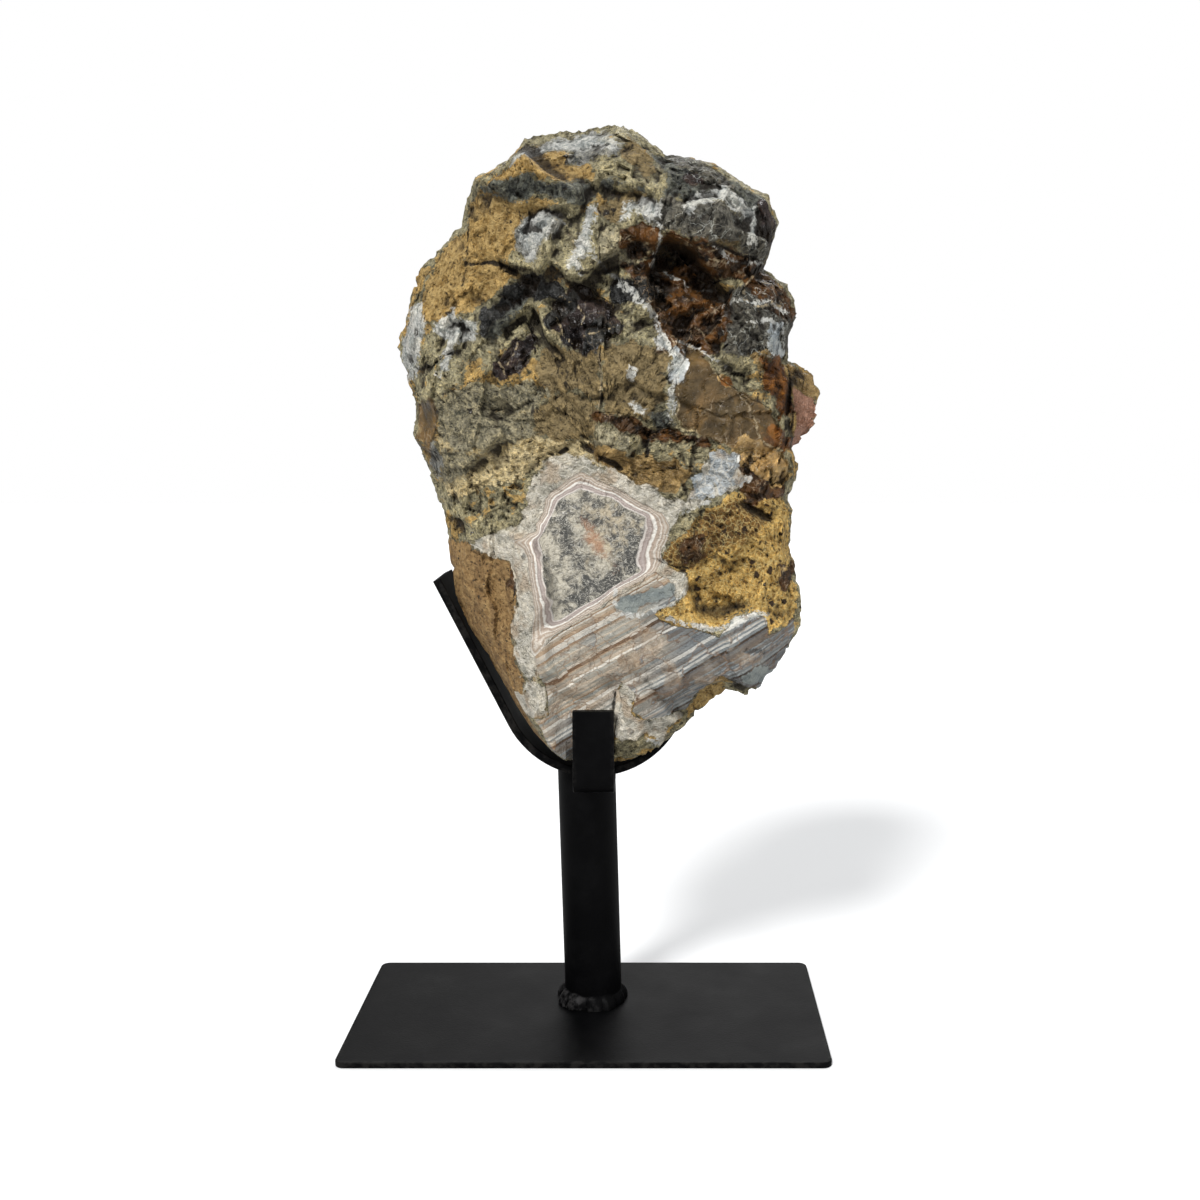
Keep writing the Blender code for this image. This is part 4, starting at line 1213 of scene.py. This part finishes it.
class StoneLook(Tree):
    """Colour and roughness of the stone, which change with each thing laid over the last."""

    def __init__(self, tree, settings):
        super().__init__(tree)
        self.settings = settings
        self.place = self.add("ShaderNodeTexCoord").outputs["Object"]
        self.grain = self.noise(self.place, 520.0, 3.0, 0.62)
        self.blotch = self.noise(self.place, 210.0, 4.0, 0.6)
        self.cloud = self.noise(self.place, 42.0, 3.0, 0.6)
        self.broad = self.noise(self.place, 85.0, 2.0)
        self.swirl = self.noise(self.place, 90.0, 2.0)
        self.mineral = mineral_group()
        self.straight = self.group(waterline_group(), Vector=self.place)["Color"]
        self.wall_bands = wall_band_group()
        tone = self.times(self.math("ADD", self.blotch, self.grain), 0.5)
        self.color = self.mix(self.spread(tone, 0.35, 0.635), *self.two_tones("rind"))
        self.dull = self.math("MULTIPLY_ADD", self.cloud, 0.3, 0.45)

    def two_tones(self, name):
        """A mineral's darker and lighter colour."""
        return [tuple(getattr(self.settings, f"{name}_{shade}")) for shade in ("dark", "light")]

    def lay(self, mask, name, dull, noises=None):
        """Lay a mineral over what is there, with its own colours and roughness, and painted shade
        just outside its edge.
        """
        fine, wide = noises or (self.grain, self.blotch)
        dark, light = self.two_tones(name)
        made = self.group(self.mineral, Below=self.color, Mask=mask, Grain=fine, Blotch=wide,
                          Dark=dark, Light=light)
        self.color = made["Color"]
        self.dull = self.blend(made["Mask"], self.dull, dull)

    def lay_glossy(self, name, dull):
        """Lay a mineral that runs in long soft swirls."""
        self.lay(self.mask(name), name, dull, (self.blotch, self.swirl))

    def lay_on_side(self, name, dull, scale, low, high, shift):
        """Lay a mineral in random patches on the sides."""
        moved = self.vector("ADD", self.place, (shift,) * 3)
        side = self.math("SUBTRACT", 1.0, self.mask("front"))
        patchy = self.spread(self.noise(moved, scale, 2.0), low, high)
        self.lay(self.times(patchy, side), name, dull)

    def paint(self, share, shade):
        """Lay a colour over what is there."""
        self.color = self.mix(share, self.color, shade)

    def tint(self, share, shade):
        """Multiply the colour there by a shade."""
        self.paint(share, self.mix(1.0, self.color, shade, "MULTIPLY"))

    def rough_rock(self):
        """Rind rock with ochre clouds, the front's rough minerals, and drips on the flank."""
        self.lay(self.spread(self.cloud, 0.47, 0.65, 0.0, 0.68), "ochre", 0.75)
        self.lay_on_side("ochre", 0.75, 22.0, 0.47, 0.60, 3.0)
        for name in ROUGH_MINERALS:
            self.lay(self.mask(name), name, 0.7)
        drips = self.noise(self.scaled(self.place, (1.0, 1.0, 0.12)), 260.0)
        drips = self.times(self.spread(drips, 0.50, 0.68, 0.0, 0.45), self.mask("flank"))
        self.paint(drips, (0.10, 0.055, 0.022))

    def crackle(self):
        """Pale crackled network with darker pockets between its threads."""
        bent = self.warp(self.place, 260.0, 0.006)
        fine, self.coarse = self.walls(bent, 400.0), self.walls(bent, 170.0)
        covered = self.times(self.larger(self.mask("ochre"), self.mask("tan_block")), 0.6)
        open_rock = self.math("SUBTRACT", 1.0, self.larger(self.mask("flank"), covered))
        patchy = self.times(self.spread(self.broad, 0.36, 0.56, 0.35, 1.0), open_rock)
        thread = self.larger(
            self.spread(fine, 0.12, 0.03, 0.0, 0.75), self.spread(self.coarse, 0.05, 0.012)
        )
        self.lace = self.times(thread, patchy)
        dark = self.spread(self.blotch, 0.56, 0.44, 0.25, 1.0)
        self.pocket = self.times(self.spread(fine, 0.20, 0.40), dark)
        self.tint(self.times(self.pocket, 0.62), (0.36, 0.33, 0.30))
        self.tint(self.times(self.lace, 0.7), (1.9, 1.8, 1.55))

    def foam(self):
        """Porous ochre: pale along its thin walls, darker between them, with some round holes."""
        foam = self.spread(self.mask("porous"), 0.42, 0.6)
        walls = self.walls(self.warp(self.place, 260.0, 0.003), 360.0)
        self.tint(self.times(foam, self.spread(walls, 0.16, 0.40, 0.0, 0.5)), (0.30, 0.25, 0.19))
        self.paint(self.times(foam, self.spread(walls, 0.09, 0.02, 0.0, 0.5)), (0.62, 0.50, 0.22))
        holes = self.cells(self.warp(self.place, 300.0, 0.004), 150.0)
        some = self.spread(self.axis(holes["Color"], "X"), 0.46, 0.50)
        hole = self.times(self.spread(holes["Distance"], 0.30, 0.20), some)
        self.paint(self.times(foam, hole), (0.035, 0.018, 0.006))

    def weathered_rock(self):
        """Dark pores, slate and crust on the sides, and dark seams between the chips."""
        pore = self.noise(self.place, 420.0, 2.0, 0.5)
        self.paint(self.spread(pore, 0.36, 0.30, 0.0, 0.85), (0.025, 0.017, 0.008))
        self.lay_on_side("slate", 0.5, 30.0, 0.56, 0.65, 7.0)
        self.lay_on_side("crust", 0.6, 35.0, 0.60, 0.68, 11.0)
        seam = self.jitter(self.mask("seam"), self.grain, 0.9)
        self.paint(self.spread(seam, 0.50, 0.85, 0.0, 0.7), (0.02, 0.013, 0.006))

    def glossy_rock(self):
        """Glossy minerals, faceted, with painted glints on some facets and painted highlights along
        thin edges where they are glassy.
        """
        for name, dull in GLOSSY_MINERALS:
            self.lay_glossy(name, dull)
        bent = self.warp(self.place, 90.0, 0.016)
        facets = self.cells(bent, 95.0)
        plates, glassy = self.mask("plates"), self.mask("glassy")
        self.glass = self.larger(self.larger(glassy, plates), self.mask("brown"))
        self.glass = self.spread(self.glass, 0.40, 0.60)
        golden = self.spread(self.cloud, 0.46, 0.60, 0.0, 0.45)
        self.paint(self.times(self.spread(plates, 0.4, 0.6), golden), (0.20, 0.125, 0.05))
        # Painted glints: some facets of the glassy, brown and plate rock made lighter
        facet = self.spread(self.axis(facets["Color"], "X"), 0.2, 1.0, 0.0, 0.45)
        self.tint(self.times(self.glass, facet), (2.2, 2.0, 1.8))
        # Painted highlights along thin shard edges, weaker on the smoky glassy rock
        shards = self.walls(self.scaled(bent, (1.0, 1.0, 0.45)), 110.0)
        some = self.spread(self.broad, 0.50, 0.60, 0.0, 0.55)
        lit = self.times(self.spread(shards, 0.035, 0.008), some)
        clear = self.times(self.glass, self.spread(glassy, 0.3, 0.6, 1.0, 0.25))
        self.paint(self.times(lit, clear), (0.42, 0.33, 0.22))
        level = self.times(self.glass, self.spread(plates, 0.3, 0.6, 0.5, 0.1))
        self.scoop = self.times(facets["Distance"], level)

    def threads(self):
        """Pale branching threads in the brown and dusky rock."""
        branch = self.spread(self.coarse, 0.045, 0.012)
        some = self.spread(self.broad, 0.40, 0.58, 0.1, 0.7)
        for name, shade in (("brown", (0.26, 0.18, 0.11)), ("dusky", (0.42, 0.43, 0.39))):
            here = self.times(self.spread(self.mask(name), 0.5, 0.7), some)
            self.paint(self.times(branch, here), shade)

    def milky_rock(self):
        """Knobs in the milky chalcedony, pale at their rims and darker inside, with warm stains."""
        knobs = self.walls(self.warp(self.place, 200.0, 0.007), 190.0)
        milky = self.spread(self.mask("chalcedony"), 0.42, 0.62)
        for share, shade in (
            (self.spread(knobs, 0.14, 0.02, 0.0, 0.6), (0.70, 0.66, 0.57)),
            (self.spread(knobs, 0.20, 0.45, 0.0, 0.5), (0.23, 0.235, 0.21)),
            (self.spread(self.broad, 0.52, 0.66, 0.0, 0.6), (0.42, 0.30, 0.19)),
        ):
            self.paint(self.times(milky, share), shade)

    def banded_face(self):
        """Straight bands with cream flakes, then wall bands round the quartz heart."""
        self.water = self.spread(self.jitter(self.mask("waterline"), self.blotch, 0.5), 0.46, 0.54)
        self.paint(self.water, self.straight)
        flake = self.spread(self.jitter(self.mask("flake"), self.blotch, 0.5), 0.42, 0.62, 0.0, 0.4)
        cream = self.mix(self.spread(self.blotch, 0.42, 0.58), *self.two_tones("flake"))
        self.paint(flake, cream)
        bands = self.group(self.wall_bands, Share=self.mask("band_share"), Vector=self.place)
        self.wall = self.spread(self.jitter(self.mask("fortified"), self.blotch, 0.15), 0.48, 0.52)
        self.paint(self.wall, bands["Color"])
        self.heart = self.spread(self.jitter(self.mask("heart"), self.blotch, 0.15), 0.48, 0.52)
        self.quartz = self.quartz_color()
        self.paint(self.heart, self.quartz)
        self.lay_glossy("steel_blue", 0.25)

    def quartz_color(self):
        """Grey quartz full of fine feathers, with a cream patch and a warm stain in the middle."""
        bent = self.warp(self.place, 150.0, 0.010)
        mottle = self.blend(0.45, self.noise(bent, 230.0, 5.0, 0.72), self.noise(bent, 80.0, 2.0))
        patchy = self.spread(mottle, 0.42, 0.60)
        shade = self.mix(patchy, *self.two_tones("quartz"))
        feathers = [
            self.noise(self.scaled(self.turned(bent, turn), (1.0, 1.0, 0.22)), 520.0, 3.0, 0.6)
            for turn in (0.9, -0.7)
        ]
        feather = self.blend(self.spread(self.blotch, 0.46, 0.54), *feathers)
        feather = self.math("ABSOLUTE", self.math("SUBTRACT", feather, 0.5))
        shade = self.mix(self.spread(feather, 0.03, 0.0, 0.0, 0.75), shade, (0.62, 0.59, 0.51))
        shade = self.mix(self.spread(feather, 0.07, 0.14, 0.0, 0.5), shade, (0.07, 0.07, 0.064))
        away = self.vector("DISTANCE", self.place, CREAM_MIDDLE, output="Value")
        cream = self.spread(self.jitter(away, self.blotch, 0.05), 0.017, 0.006)
        cream = self.times(cream, self.spread(mottle, 0.42, 0.58))
        shade = self.mix(self.times(cream, 0.6), shade, (0.52, 0.42, 0.27))
        away = self.turned(self.vector("SUBTRACT", self.place, STAIN_MIDDLE), 0.62)
        away = self.vector("LENGTH", self.scaled(away, (1.0, 0.3, 0.36)), output="Value")
        stain = self.spread(self.jitter(away, mottle, 0.020), 0.0050, 0.0012, 0.0, 0.75)
        return self.mix(stain, shade, (0.45, 0.25, 0.145))

    def white_crust(self):
        """White crust and veins in fine wisps, then painted highlights along broken edges."""
        wisp = self.noise(self.warp(self.place, 120.0, 0.02), 260.0, 4.0, 0.62)
        frost = self.mix(self.spread(wisp, 0.38, 0.58), *self.two_tones("crust"))
        for name, low, high, most in (
            ("cotton", 0.25, 0.80, 0.8), ("crust", 0.42, 0.70, 0.9), ("vein", 0.46, 0.64, 0.8)
        ):
            ragged = self.jitter(self.mask(name), wisp, 1.6)
            self.paint(self.spread(ragged, low, high, 0.0, most), frost)
        # Painted highlights along the broken edges
        ragged = self.jitter(self.mask("edge"), self.grain, 0.5)
        self.paint(self.spread(ragged, 0.46, 0.60, 0.0, 0.75), (0.50, 0.40, 0.25))

    def polished_back(self):
        """Ground back: rind at its rim, milky and banded walls, straight bands and quartz."""
        inward = self.jitter(self.mask("rim"), self.noise(self.place, 16.0, 3.0, 0.5), 0.42)
        line = self.add("ShaderNodeCombineXYZ", {"X": inward}).outputs[0]
        milky = self.ramp(self.noise(line, 60.0, 4.0, 0.75), MILKY_BANDS)
        share = self.spread(inward, 0.27, 0.13, kind="LINEAR")
        wall = self.group(self.wall_bands, Share=share, Vector=self.place)["Color"]
        dark, light = self.two_tones("porous_brown")[0], self.two_tones("ochre")[1]
        rock = self.mix(self.spread(self.blotch, 0.40, 0.62), dark, light)
        color = self.mix(self.spread(inward, 0.040, 0.055), rock, milky)
        level = self.math(
            "MULTIPLY_ADD", self.axis(self.place, "X"), -math.tan(SLOPE), self.axis(self.place, "Z")
        )
        filling = self.mix(self.spread(level, 0.262, 0.258), self.quartz, self.straight)
        color = self.mix(self.spread(inward, 0.128, 0.132), color, wall)
        color = self.mix(self.spread(inward, 0.268, 0.272), color, filling)
        self.polish = self.spread(self.mask("polished"), 0.4, 0.6)
        self.paint(self.polish, color)
        self.dull = self.blend(self.larger(self.water, self.wall), self.dull, 0.3)
        self.dull = self.blend(self.polish, self.dull, 0.06)

    def painted_shade_and_highlight(self):
        """Painted shade in pits, cracks and dips, and a painted highlight on ridges."""
        # Painted shade in the pits
        self.paint(self.spread(self.mask("sunk"), 0.30, 1.0, 0.0, 0.85), (0.018, 0.011, 0.005))
        # Painted shade in the cracks and small pockets
        split = self.jitter(self.mask("crack"), self.blotch, 0.7)
        self.paint(self.spread(split, 0.50, 0.66, 0.0, 0.92), (0.012, 0.008, 0.005))
        # Painted shade in dips, then a painted highlight on ridges
        cavity = self.mask("cavity")
        self.paint(self.spread(cavity, 0.54, 0.80, 0.0, 0.88), (0.014, 0.009, 0.005))
        self.tint(self.spread(cavity, 0.47, 0.36, 0.0, 0.5), (1.5, 1.45, 1.35))

    def bumps(self):
        """Grain, threads and scooped facets, weaker on banded rock and gone where polished."""
        banded = self.larger(self.larger(self.water, self.heart), self.wall)
        smooth = self.larger(banded, self.glass)
        height = self.math("MULTIPLY_ADD", self.blotch, 1.2, self.times(self.lace, 0.35))
        height = self.math("MULTIPLY_ADD", self.grain, 0.5, height)
        height = self.math("MULTIPLY_ADD", self.pocket, -0.5, height)
        height = self.times(height, self.spread(smooth, 0.0, 1.0, 1.0, 0.3))
        height = self.math("ADD", height, self.scoop)
        height = self.times(height, self.math("SUBTRACT", 1.0, self.polish))
        inputs = {"Height": height, "Distance": 0.0025, "Strength": 0.85}
        return self.add("ShaderNodeBump", inputs).outputs[0]


def new_material(name):
    """An empty material and its shader."""
    made = bpy.data.materials.new(name)
    made.use_nodes = True
    return made, made.node_tree.nodes["Principled BSDF"]


def stone_material(settings):
    """Broken agate: each mineral is laid over the rind rock, then bands, crust, polish, painted
    shade and highlights.
    """
    made, shader = new_material("broken_agate")
    look = StoneLook(made.node_tree, settings)
    for step in (
        look.rough_rock, look.crackle, look.foam, look.weathered_rock, look.glossy_rock,
        look.threads, look.milky_rock, look.banded_face, look.white_crust, look.polished_back,
        look.painted_shade_and_highlight,
    ):
        step()
    shader.inputs["Specular IOR Level"].default_value = 0.35
    look.put(shader.inputs["Base Color"], look.color)
    look.put(shader.inputs["Roughness"], look.dull)
    look.put(shader.inputs["Normal"], look.bumps())
    return made


def steel_material(settings):
    """Matt black paint: faint cloudy tone, edges worn with a painted highlight, bare on the weld
    bead.
    """
    made, shader = new_material("black_paint")
    t = Tree(made.node_tree)
    place = t.add("ShaderNodeTexCoord").outputs["Object"]
    cloud = t.noise(place, 30.0, 4.0, 0.6)
    speck = t.noise(place, 900.0, 2.0, 0.5)
    paint = tuple(settings.paint)
    dusty = tuple(1.6 * part + 0.0015 for part in paint)
    color = t.mix(t.spread(cloud, 0.4, 0.7), paint, dusty)
    # Lighter edges, partly worn paint and partly painted highlight, then the bare weld bead
    for name, scale, low, high in (("worn", 240.0, 0.42, 0.62), ("weld", 180.0, 0.45, 0.6)):
        bare = t.times(t.mask(name), t.spread(t.noise(place, scale, 4.0, 0.7), low, high))
        color = t.mix(bare, color, tuple(getattr(settings, name)))
    height = t.math("ADD", speck, t.times(cloud, 2.0))
    bump = t.add("ShaderNodeBump", {"Height": height, "Distance": 0.0002, "Strength": 0.35})
    shader.inputs["Specular IOR Level"].default_value = 0.06
    t.put(shader.inputs["Base Color"], color)
    t.put(shader.inputs["Roughness"], t.math("MULTIPLY_ADD", cloud, 0.25, 0.38))
    t.put(shader.inputs["Normal"], bump.outputs[0])
    return made


def finish_steel(name, rings, node, worn=0, weld=0):
    """A closed painted piece from rings of points, with masks for worn edges with painted highlight
    and bare weld.
    """
    total = rings.shape[0] * rings.shape[1]
    masks = {"worn": np.zeros(total) + worn, "weld": np.zeros(total) + weld}
    paint = bpy.data.materials.get("black_paint")
    paint = paint or steel_material(bpy.context.scene.stand_settings)
    finish_piece(name, closed_mesh(name, rings, masks), paint, node)


# Pieces of the stand
def rounded_rectangle(half_width, half_depth, radius, steps, strip=None):
    """Corner arcs of one radius joined by straight sides, as (u, v) points, anticlockwise.

    With a strip, each side also gets a point that far from its corners, where wear fades out.
    """
    points = []
    for quarter, (sign_u, sign_v) in enumerate(((1, 1), (-1, 1), (-1, -1), (1, -1))):
        angles = (quarter + np.linspace(0, 1, steps + 1)) * math.pi / 2
        u = sign_u * (half_width - radius) + radius * np.cos(angles)
        v = sign_v * (half_depth - radius) + radius * np.sin(angles)
        arc = np.stack([u, v], axis=1)
        points.append(arc)
        if strip is not None:
            ahead = np.array([(-1, 0), (0, -1), (1, 0), (0, 1)][quarter], float)
            run = 2 * ((half_width, half_depth)[quarter % 2] - radius)
            reach = min(strip, run / 3)
            points.append(np.stack([arc[-1] + ahead * reach, arc[-1] + ahead * (run - reach)]))
    return np.concatenate(points)


def swept_bar(path, inward, axis, low, high, radius):
    """A rounded bar section carried along a path: path + inward * v + axis * u."""
    width = high - low
    section = rounded_rectangle(width / 2, BAR_THICKNESS / 2, radius, 4, FLAT_STRIP)
    deep = inward[:, None, :] * (section[:, 1] + BAR_THICKNESS / 2)[None, :, None]
    across = np.array(axis, float) * (low + width / 2 + section[:, 0])[None, :, None]
    return path[:, None, :] + deep + across


def rounded_ends(rings, radius, steps=4):
    """Extra rings that draw in at both ends, so that a bar's end edges are rounded too."""
    trimmed, ends = rings.copy(), []
    for index, beside in ((0, 1), (-1, -2)):
        ring = rings[index]
        ahead = (ring - rings[beside]).mean(axis=0)
        ahead /= np.linalg.norm(ahead)
        trimmed[index] -= ahead * radius
        drawn = ring - ring.mean(axis=0)
        size = np.maximum(np.linalg.norm(drawn, axis=1, keepdims=True), 1e-9)
        end = []
        for angle in np.linspace(0, math.pi / 2, steps + 1)[1:]:
            shrink = 1 - radius * (1 - math.cos(angle)) / size
            back = ahead * radius * (1 - math.sin(angle))
            end.append(ring.mean(axis=0) + drawn * shrink - back)
        ends.append(end)
    return np.concatenate([ends[0][::-1], trimmed, ends[1]])


def with_axis(flat, column):
    """Points in space from points on a plane, with a column of zeros for the missing axis."""
    return np.insert(flat, column, 0, axis=1)


def strap_path():
    """Outer face of the U and its inward direction, from left tip to right: arm, arc, arm."""
    centre_z = STRAP_LOW.z + STRAP_BEND
    angles = np.linspace(-STRAP_SLOPE, STRAP_SLOPE, STRAP_BEND_RINGS)
    facing = np.stack([-np.sin(angles), np.cos(angles)], axis=1)
    bend = np.array([STRAP_MIDDLE_X, centre_z]) - STRAP_BEND * facing
    arm = np.linspace(1, 0, STRAP_ARM_RINGS, endpoint=False)[:, None] * STRAP_ARM
    rise, run = math.sin(STRAP_SLOPE), math.cos(STRAP_SLOPE)
    left = bend[0] + arm * [-run, rise]
    right = (bend[-1] + arm * [run, rise])[::-1]
    ends = [np.tile(facing[index], (STRAP_ARM_RINGS, 1)) for index in (0, -1)]
    path = np.concatenate([left, bend, right])
    return with_axis(path, 1), with_axis(np.concatenate([ends[0], facing, ends[1]]), 1)


def clip_path():
    """Outer face of the L and its inward direction: from its top down, round and back."""
    front, low, top = CLIP_LOW.y, CLIP_LOW.z, CLIP_HIGH.z
    angles = np.linspace(0, math.pi / 2, CLIP_BEND_RINGS)
    facing = np.stack([np.cos(angles), np.sin(angles)], axis=1)
    bend = np.array([front, low]) + CLIP_BEND * (1 - facing)
    down = np.linspace(top, low + CLIP_BEND, CLIP_LEG_RINGS, endpoint=False)
    back = np.linspace(CLIP_HIGH.y, front + CLIP_BEND, CLIP_FOOT_RINGS, endpoint=False)[::-1]
    leg = np.stack([np.full(CLIP_LEG_RINGS, front), down], axis=1)
    foot = np.stack([back, np.full(CLIP_FOOT_RINGS, low)], axis=1)
    inward = [np.tile(facing[0], (CLIP_LEG_RINGS, 1)), facing,
              np.tile(facing[-1], (CLIP_FOOT_RINGS, 1))]
    return with_axis(np.concatenate([leg, bend, foot]), 0), with_axis(np.concatenate(inward), 0)


# Operators
class AGATE_OT_stone(bpy.types.Operator):
    """Build the stone: broken front, rough sides and polished back"""

    bl_idname = "agate.stone"
    bl_label = "Stone"

    def execute(self, context):
        settings = context.scene.agate_settings
        stone = Stone(settings)
        rings = (stone.points * MM).reshape(-1, stone.count, 3)
        mesh = closed_mesh("stone", rings, stone.masks)
        finish_piece("stone", mesh, stone_material(settings), "agate")
        return {"FINISHED"}


class AGATE_OT_base_plate(bpy.types.Operator):
    """Build the base plate: rounded corners and a softly rounded rim"""

    bl_idname = "agate.base_plate"
    bl_label = "Base plate"

    def execute(self, context):
        s = context.scene.stand_settings
        arc = np.linspace(0, math.pi / 2, 5)
        low = s.plate_edge * (1 - np.cos(arc))
        high = s.plate_edge * (1 - np.sin(arc))
        insets = [*PLATE_INSETS, *high, *low, *PLATE_INSETS[::-1]]
        thick = PLATE_HIGH.z
        heights = [0, 0, 0, *low, *(thick - high), thick, thick, thick]
        rings = []
        for inset, height in zip(insets, heights):
            corner = max(s.plate_corner - inset, 0.4 * MM)
            edge = rounded_rectangle(PLATE_HIGH.x - inset, PLATE_HIGH.y - inset, corner, 8)
            rings.append(np.insert(edge, 2, height, axis=1))
        # The rim's rings get worn paint and a painted highlight
        first, last = RIM_RINGS_WITH_WEAR_AND_HIGHLIGHT
        worn = np.zeros((len(rings), len(rings[0])))
        worn[first:last + 1] = PLATE_WEAR_AND_HIGHLIGHT
        finish_steel("base_plate_painted", np.array(rings), "base_plate", worn.ravel())
        return {"FINISHED"}


class AGATE_OT_post(bpy.types.Operator):
    """Build the post: a straight tube with a lumpy weld bead at its foot"""

    bl_idname = "agate.post"
    bl_label = "Post"

    def execute(self, context):
        s = context.scene.stand_settings
        turn = np.arange(POST_SIDES) * math.tau / POST_SIDES
        circle = np.stack([np.cos(turn), np.sin(turn)], axis=1)
        middle_y = (STRAP_LOW.y + STRAP_HIGH.y) / 2
        lumps = 0.72 + 0.16 * np.sin(5 * turn + 1) + 0.14 * np.sin(11 * turn)
        lumps = lumps + 0.25 * np.cos(turn - 3.7)
        fine = 0.1 * np.sin(23 * turn + 2) + 0.07 * np.sin(37 * turn)
        rings, weld = [], []
        for share in np.linspace(0, 1, WELD_RINGS):
            reach = s.bead_reach * math.cos(share * math.pi / 2) ** 0.7
            reach = POST_RADIUS + reach * (lumps + fine * (share < 0.9))
            height = POST_LOW.z + WELD_HEIGHT * share * (0.75 + 0.35 * lumps)
            ring = (POST_FOOT_X, middle_y) + circle * reach[:, None]
            rings.append(np.column_stack([ring, height]))
            weld.append(share < 0.95)
        foot = height
        for share in np.linspace(0, 1, POST_RINGS)[1:]:
            middle_x = POST_FOOT_X + (POST_TOP_X - POST_FOOT_X) * share
            ring = (middle_x, middle_y) + circle * POST_RADIUS
            across = ring[:, 0] - STRAP_MIDDLE_X
            top = STRAP_LOW.z + STRAP_BEND - np.sqrt(STRAP_BEND**2 - across**2) - STONE_GAP
            rings.append(np.column_stack([ring, foot + (top - foot) * share]))
            weld.append(False)
        weld = np.outer(weld, np.clip(0.55 - np.cos(turn), 0, 1)).ravel()
        finish_steel("post_painted", np.array(rings), "post", weld=weld)
        return {"FINISHED"}


class AGATE_OT_bars(bpy.types.Operator):
    """Build the strap that cradles the stone and the clip in front of it"""

    bl_idname = "agate.bars"
    bl_label = "Strap and clip"

    def execute(self, context):
        radius = context.scene.stand_settings.edge_radius
        for name, node, path, axis, low, high in (
            ("strap_painted", "cradle_strap", strap_path(), (0, 1, 0), STRAP_LOW.y, STRAP_HIGH.y),
            ("clip_painted", "front_clip", clip_path(), (1, 0, 0), CLIP_LOW.x, CLIP_HIGH.x),
        ):
            rings = rounded_ends(swept_bar(*path, axis, low, high, radius), radius)
            # Near the long edges: worn paint and a painted highlight
            span = (rings @ np.array(axis, float)).ravel()
            worn = np.clip(1 - np.minimum(span - low, high - span) / EDGE_WEAR_AND_HIGHLIGHT_REACH, 0, 1)
            finish_steel(name, rings, node, worn)
        return {"FINISHED"}


class AGATE_OT_stage(bpy.types.Operator):
    """Build the pale floor, the soft lights and the camera"""

    bl_idname = "agate.stage"
    bl_label = "Stage"

    def execute(self, context):
        s = context.scene.stage_settings
        half = s.floor_half
        corners = [(-half, -half, 0), (half, -half, 0), (half, half, 0), (-half, half, 0)]
        mesh = bpy.data.meshes.new("floor")
        mesh.from_pydata(corners, [], [(0, 1, 2, 3)])
        material, shader = new_material("floor_paint")
        t = Tree(material.node_tree)
        seen = t.add("ShaderNodeLightPath").outputs["Is Camera Ray"]
        paint = tuple(s.floor_paint)
        dim = tuple(0.5 * part for part in paint)
        t.put(shader.inputs["Base Color"], t.mix(seen, dim, paint))
        shader.inputs["Roughness"].default_value = 0.9
        shader.inputs["Specular IOR Level"].default_value = 0.1
        mesh.materials.append(material)
        floor = new_object("floor", mesh)
        for name, light in SUNS.items():
            add_sun(name, *light)
        world = bpy.data.worlds.new("studio")
        world.use_nodes = True
        t = Tree(world.node_tree)
        path = t.add("ShaderNodeLightPath").outputs
        light = t.mix(path["Is Glossy Ray"], (0.36, 0.37, 0.38), (0.08, 0.08, 0.08))
        light = t.mix(path["Is Camera Ray"], light, (1.0, 1.0, 1.0))
        t.put(t.nodes["Background"].inputs["Color"], light)
        context.scene.world = world
        camera = new_object("camera", bpy.data.cameras.new("camera"))
        camera.location = s.camera_place
        camera.rotation_euler = (math.pi / 2 - s.camera_pitch, 0, 0)
        camera.data.lens = s.camera_lens
        camera.data.sensor_width = 36
        camera.data.shift_x = s.camera_shift
        context.scene.camera = camera
        context.scene.view_settings.view_transform = "Standard"
        return {"FINISHED"}


def add_sun(name, up, around, spread, power):
    """A wide soft light from a height and a turn, both in degrees from straight in front."""
    up, around, spread = (math.radians(angle) for angle in (up, around, spread))
    light = new_object(name, bpy.data.lights.new(name, "SUN"))
    light.data.angle = spread
    light.data.energy = power
    level = math.cos(up)
    toward = Vector((math.sin(around) * level, -math.cos(around) * level, math.sin(up)))
    light.rotation_euler = toward.to_track_quat("Z", "Y").to_euler()


class AGATE_PT_panel(bpy.types.Panel):
    """Buttons for every piece"""

    bl_label = "Agate on a stand"
    bl_idname = "AGATE_PT_panel"
    bl_space_type = "VIEW_3D"
    bl_region_type = "UI"
    bl_category = "Agate"

    def draw(self, context):
        for operator in OPERATORS:
            self.layout.operator(operator.bl_idname)


SETTINGS = {
    "agate_settings": AgateSettings,
    "stand_settings": StandSettings,
    "stage_settings": StageSettings,
}
OPERATORS = (AGATE_OT_stone, AGATE_OT_base_plate, AGATE_OT_post, AGATE_OT_bars, AGATE_OT_stage)


def register():
    for name, group in SETTINGS.items():
        bpy.utils.register_class(group)
        setattr(bpy.types.Scene, name, PointerProperty(type=group))
    for item in (*OPERATORS, AGATE_PT_panel):
        bpy.utils.register_class(item)


def unregister():
    for item in (AGATE_PT_panel, *reversed(OPERATORS)):
        bpy.utils.unregister_class(item)
    for name, group in reversed(SETTINGS.items()):
        delattr(bpy.types.Scene, name)
        bpy.utils.unregister_class(group)


def main():
    register()
    bpy.ops.agate.stone()
    bpy.ops.agate.base_plate()
    bpy.ops.agate.post()
    bpy.ops.agate.bars()
    bpy.ops.agate.stage()


if __name__ == "__main__":
    main()
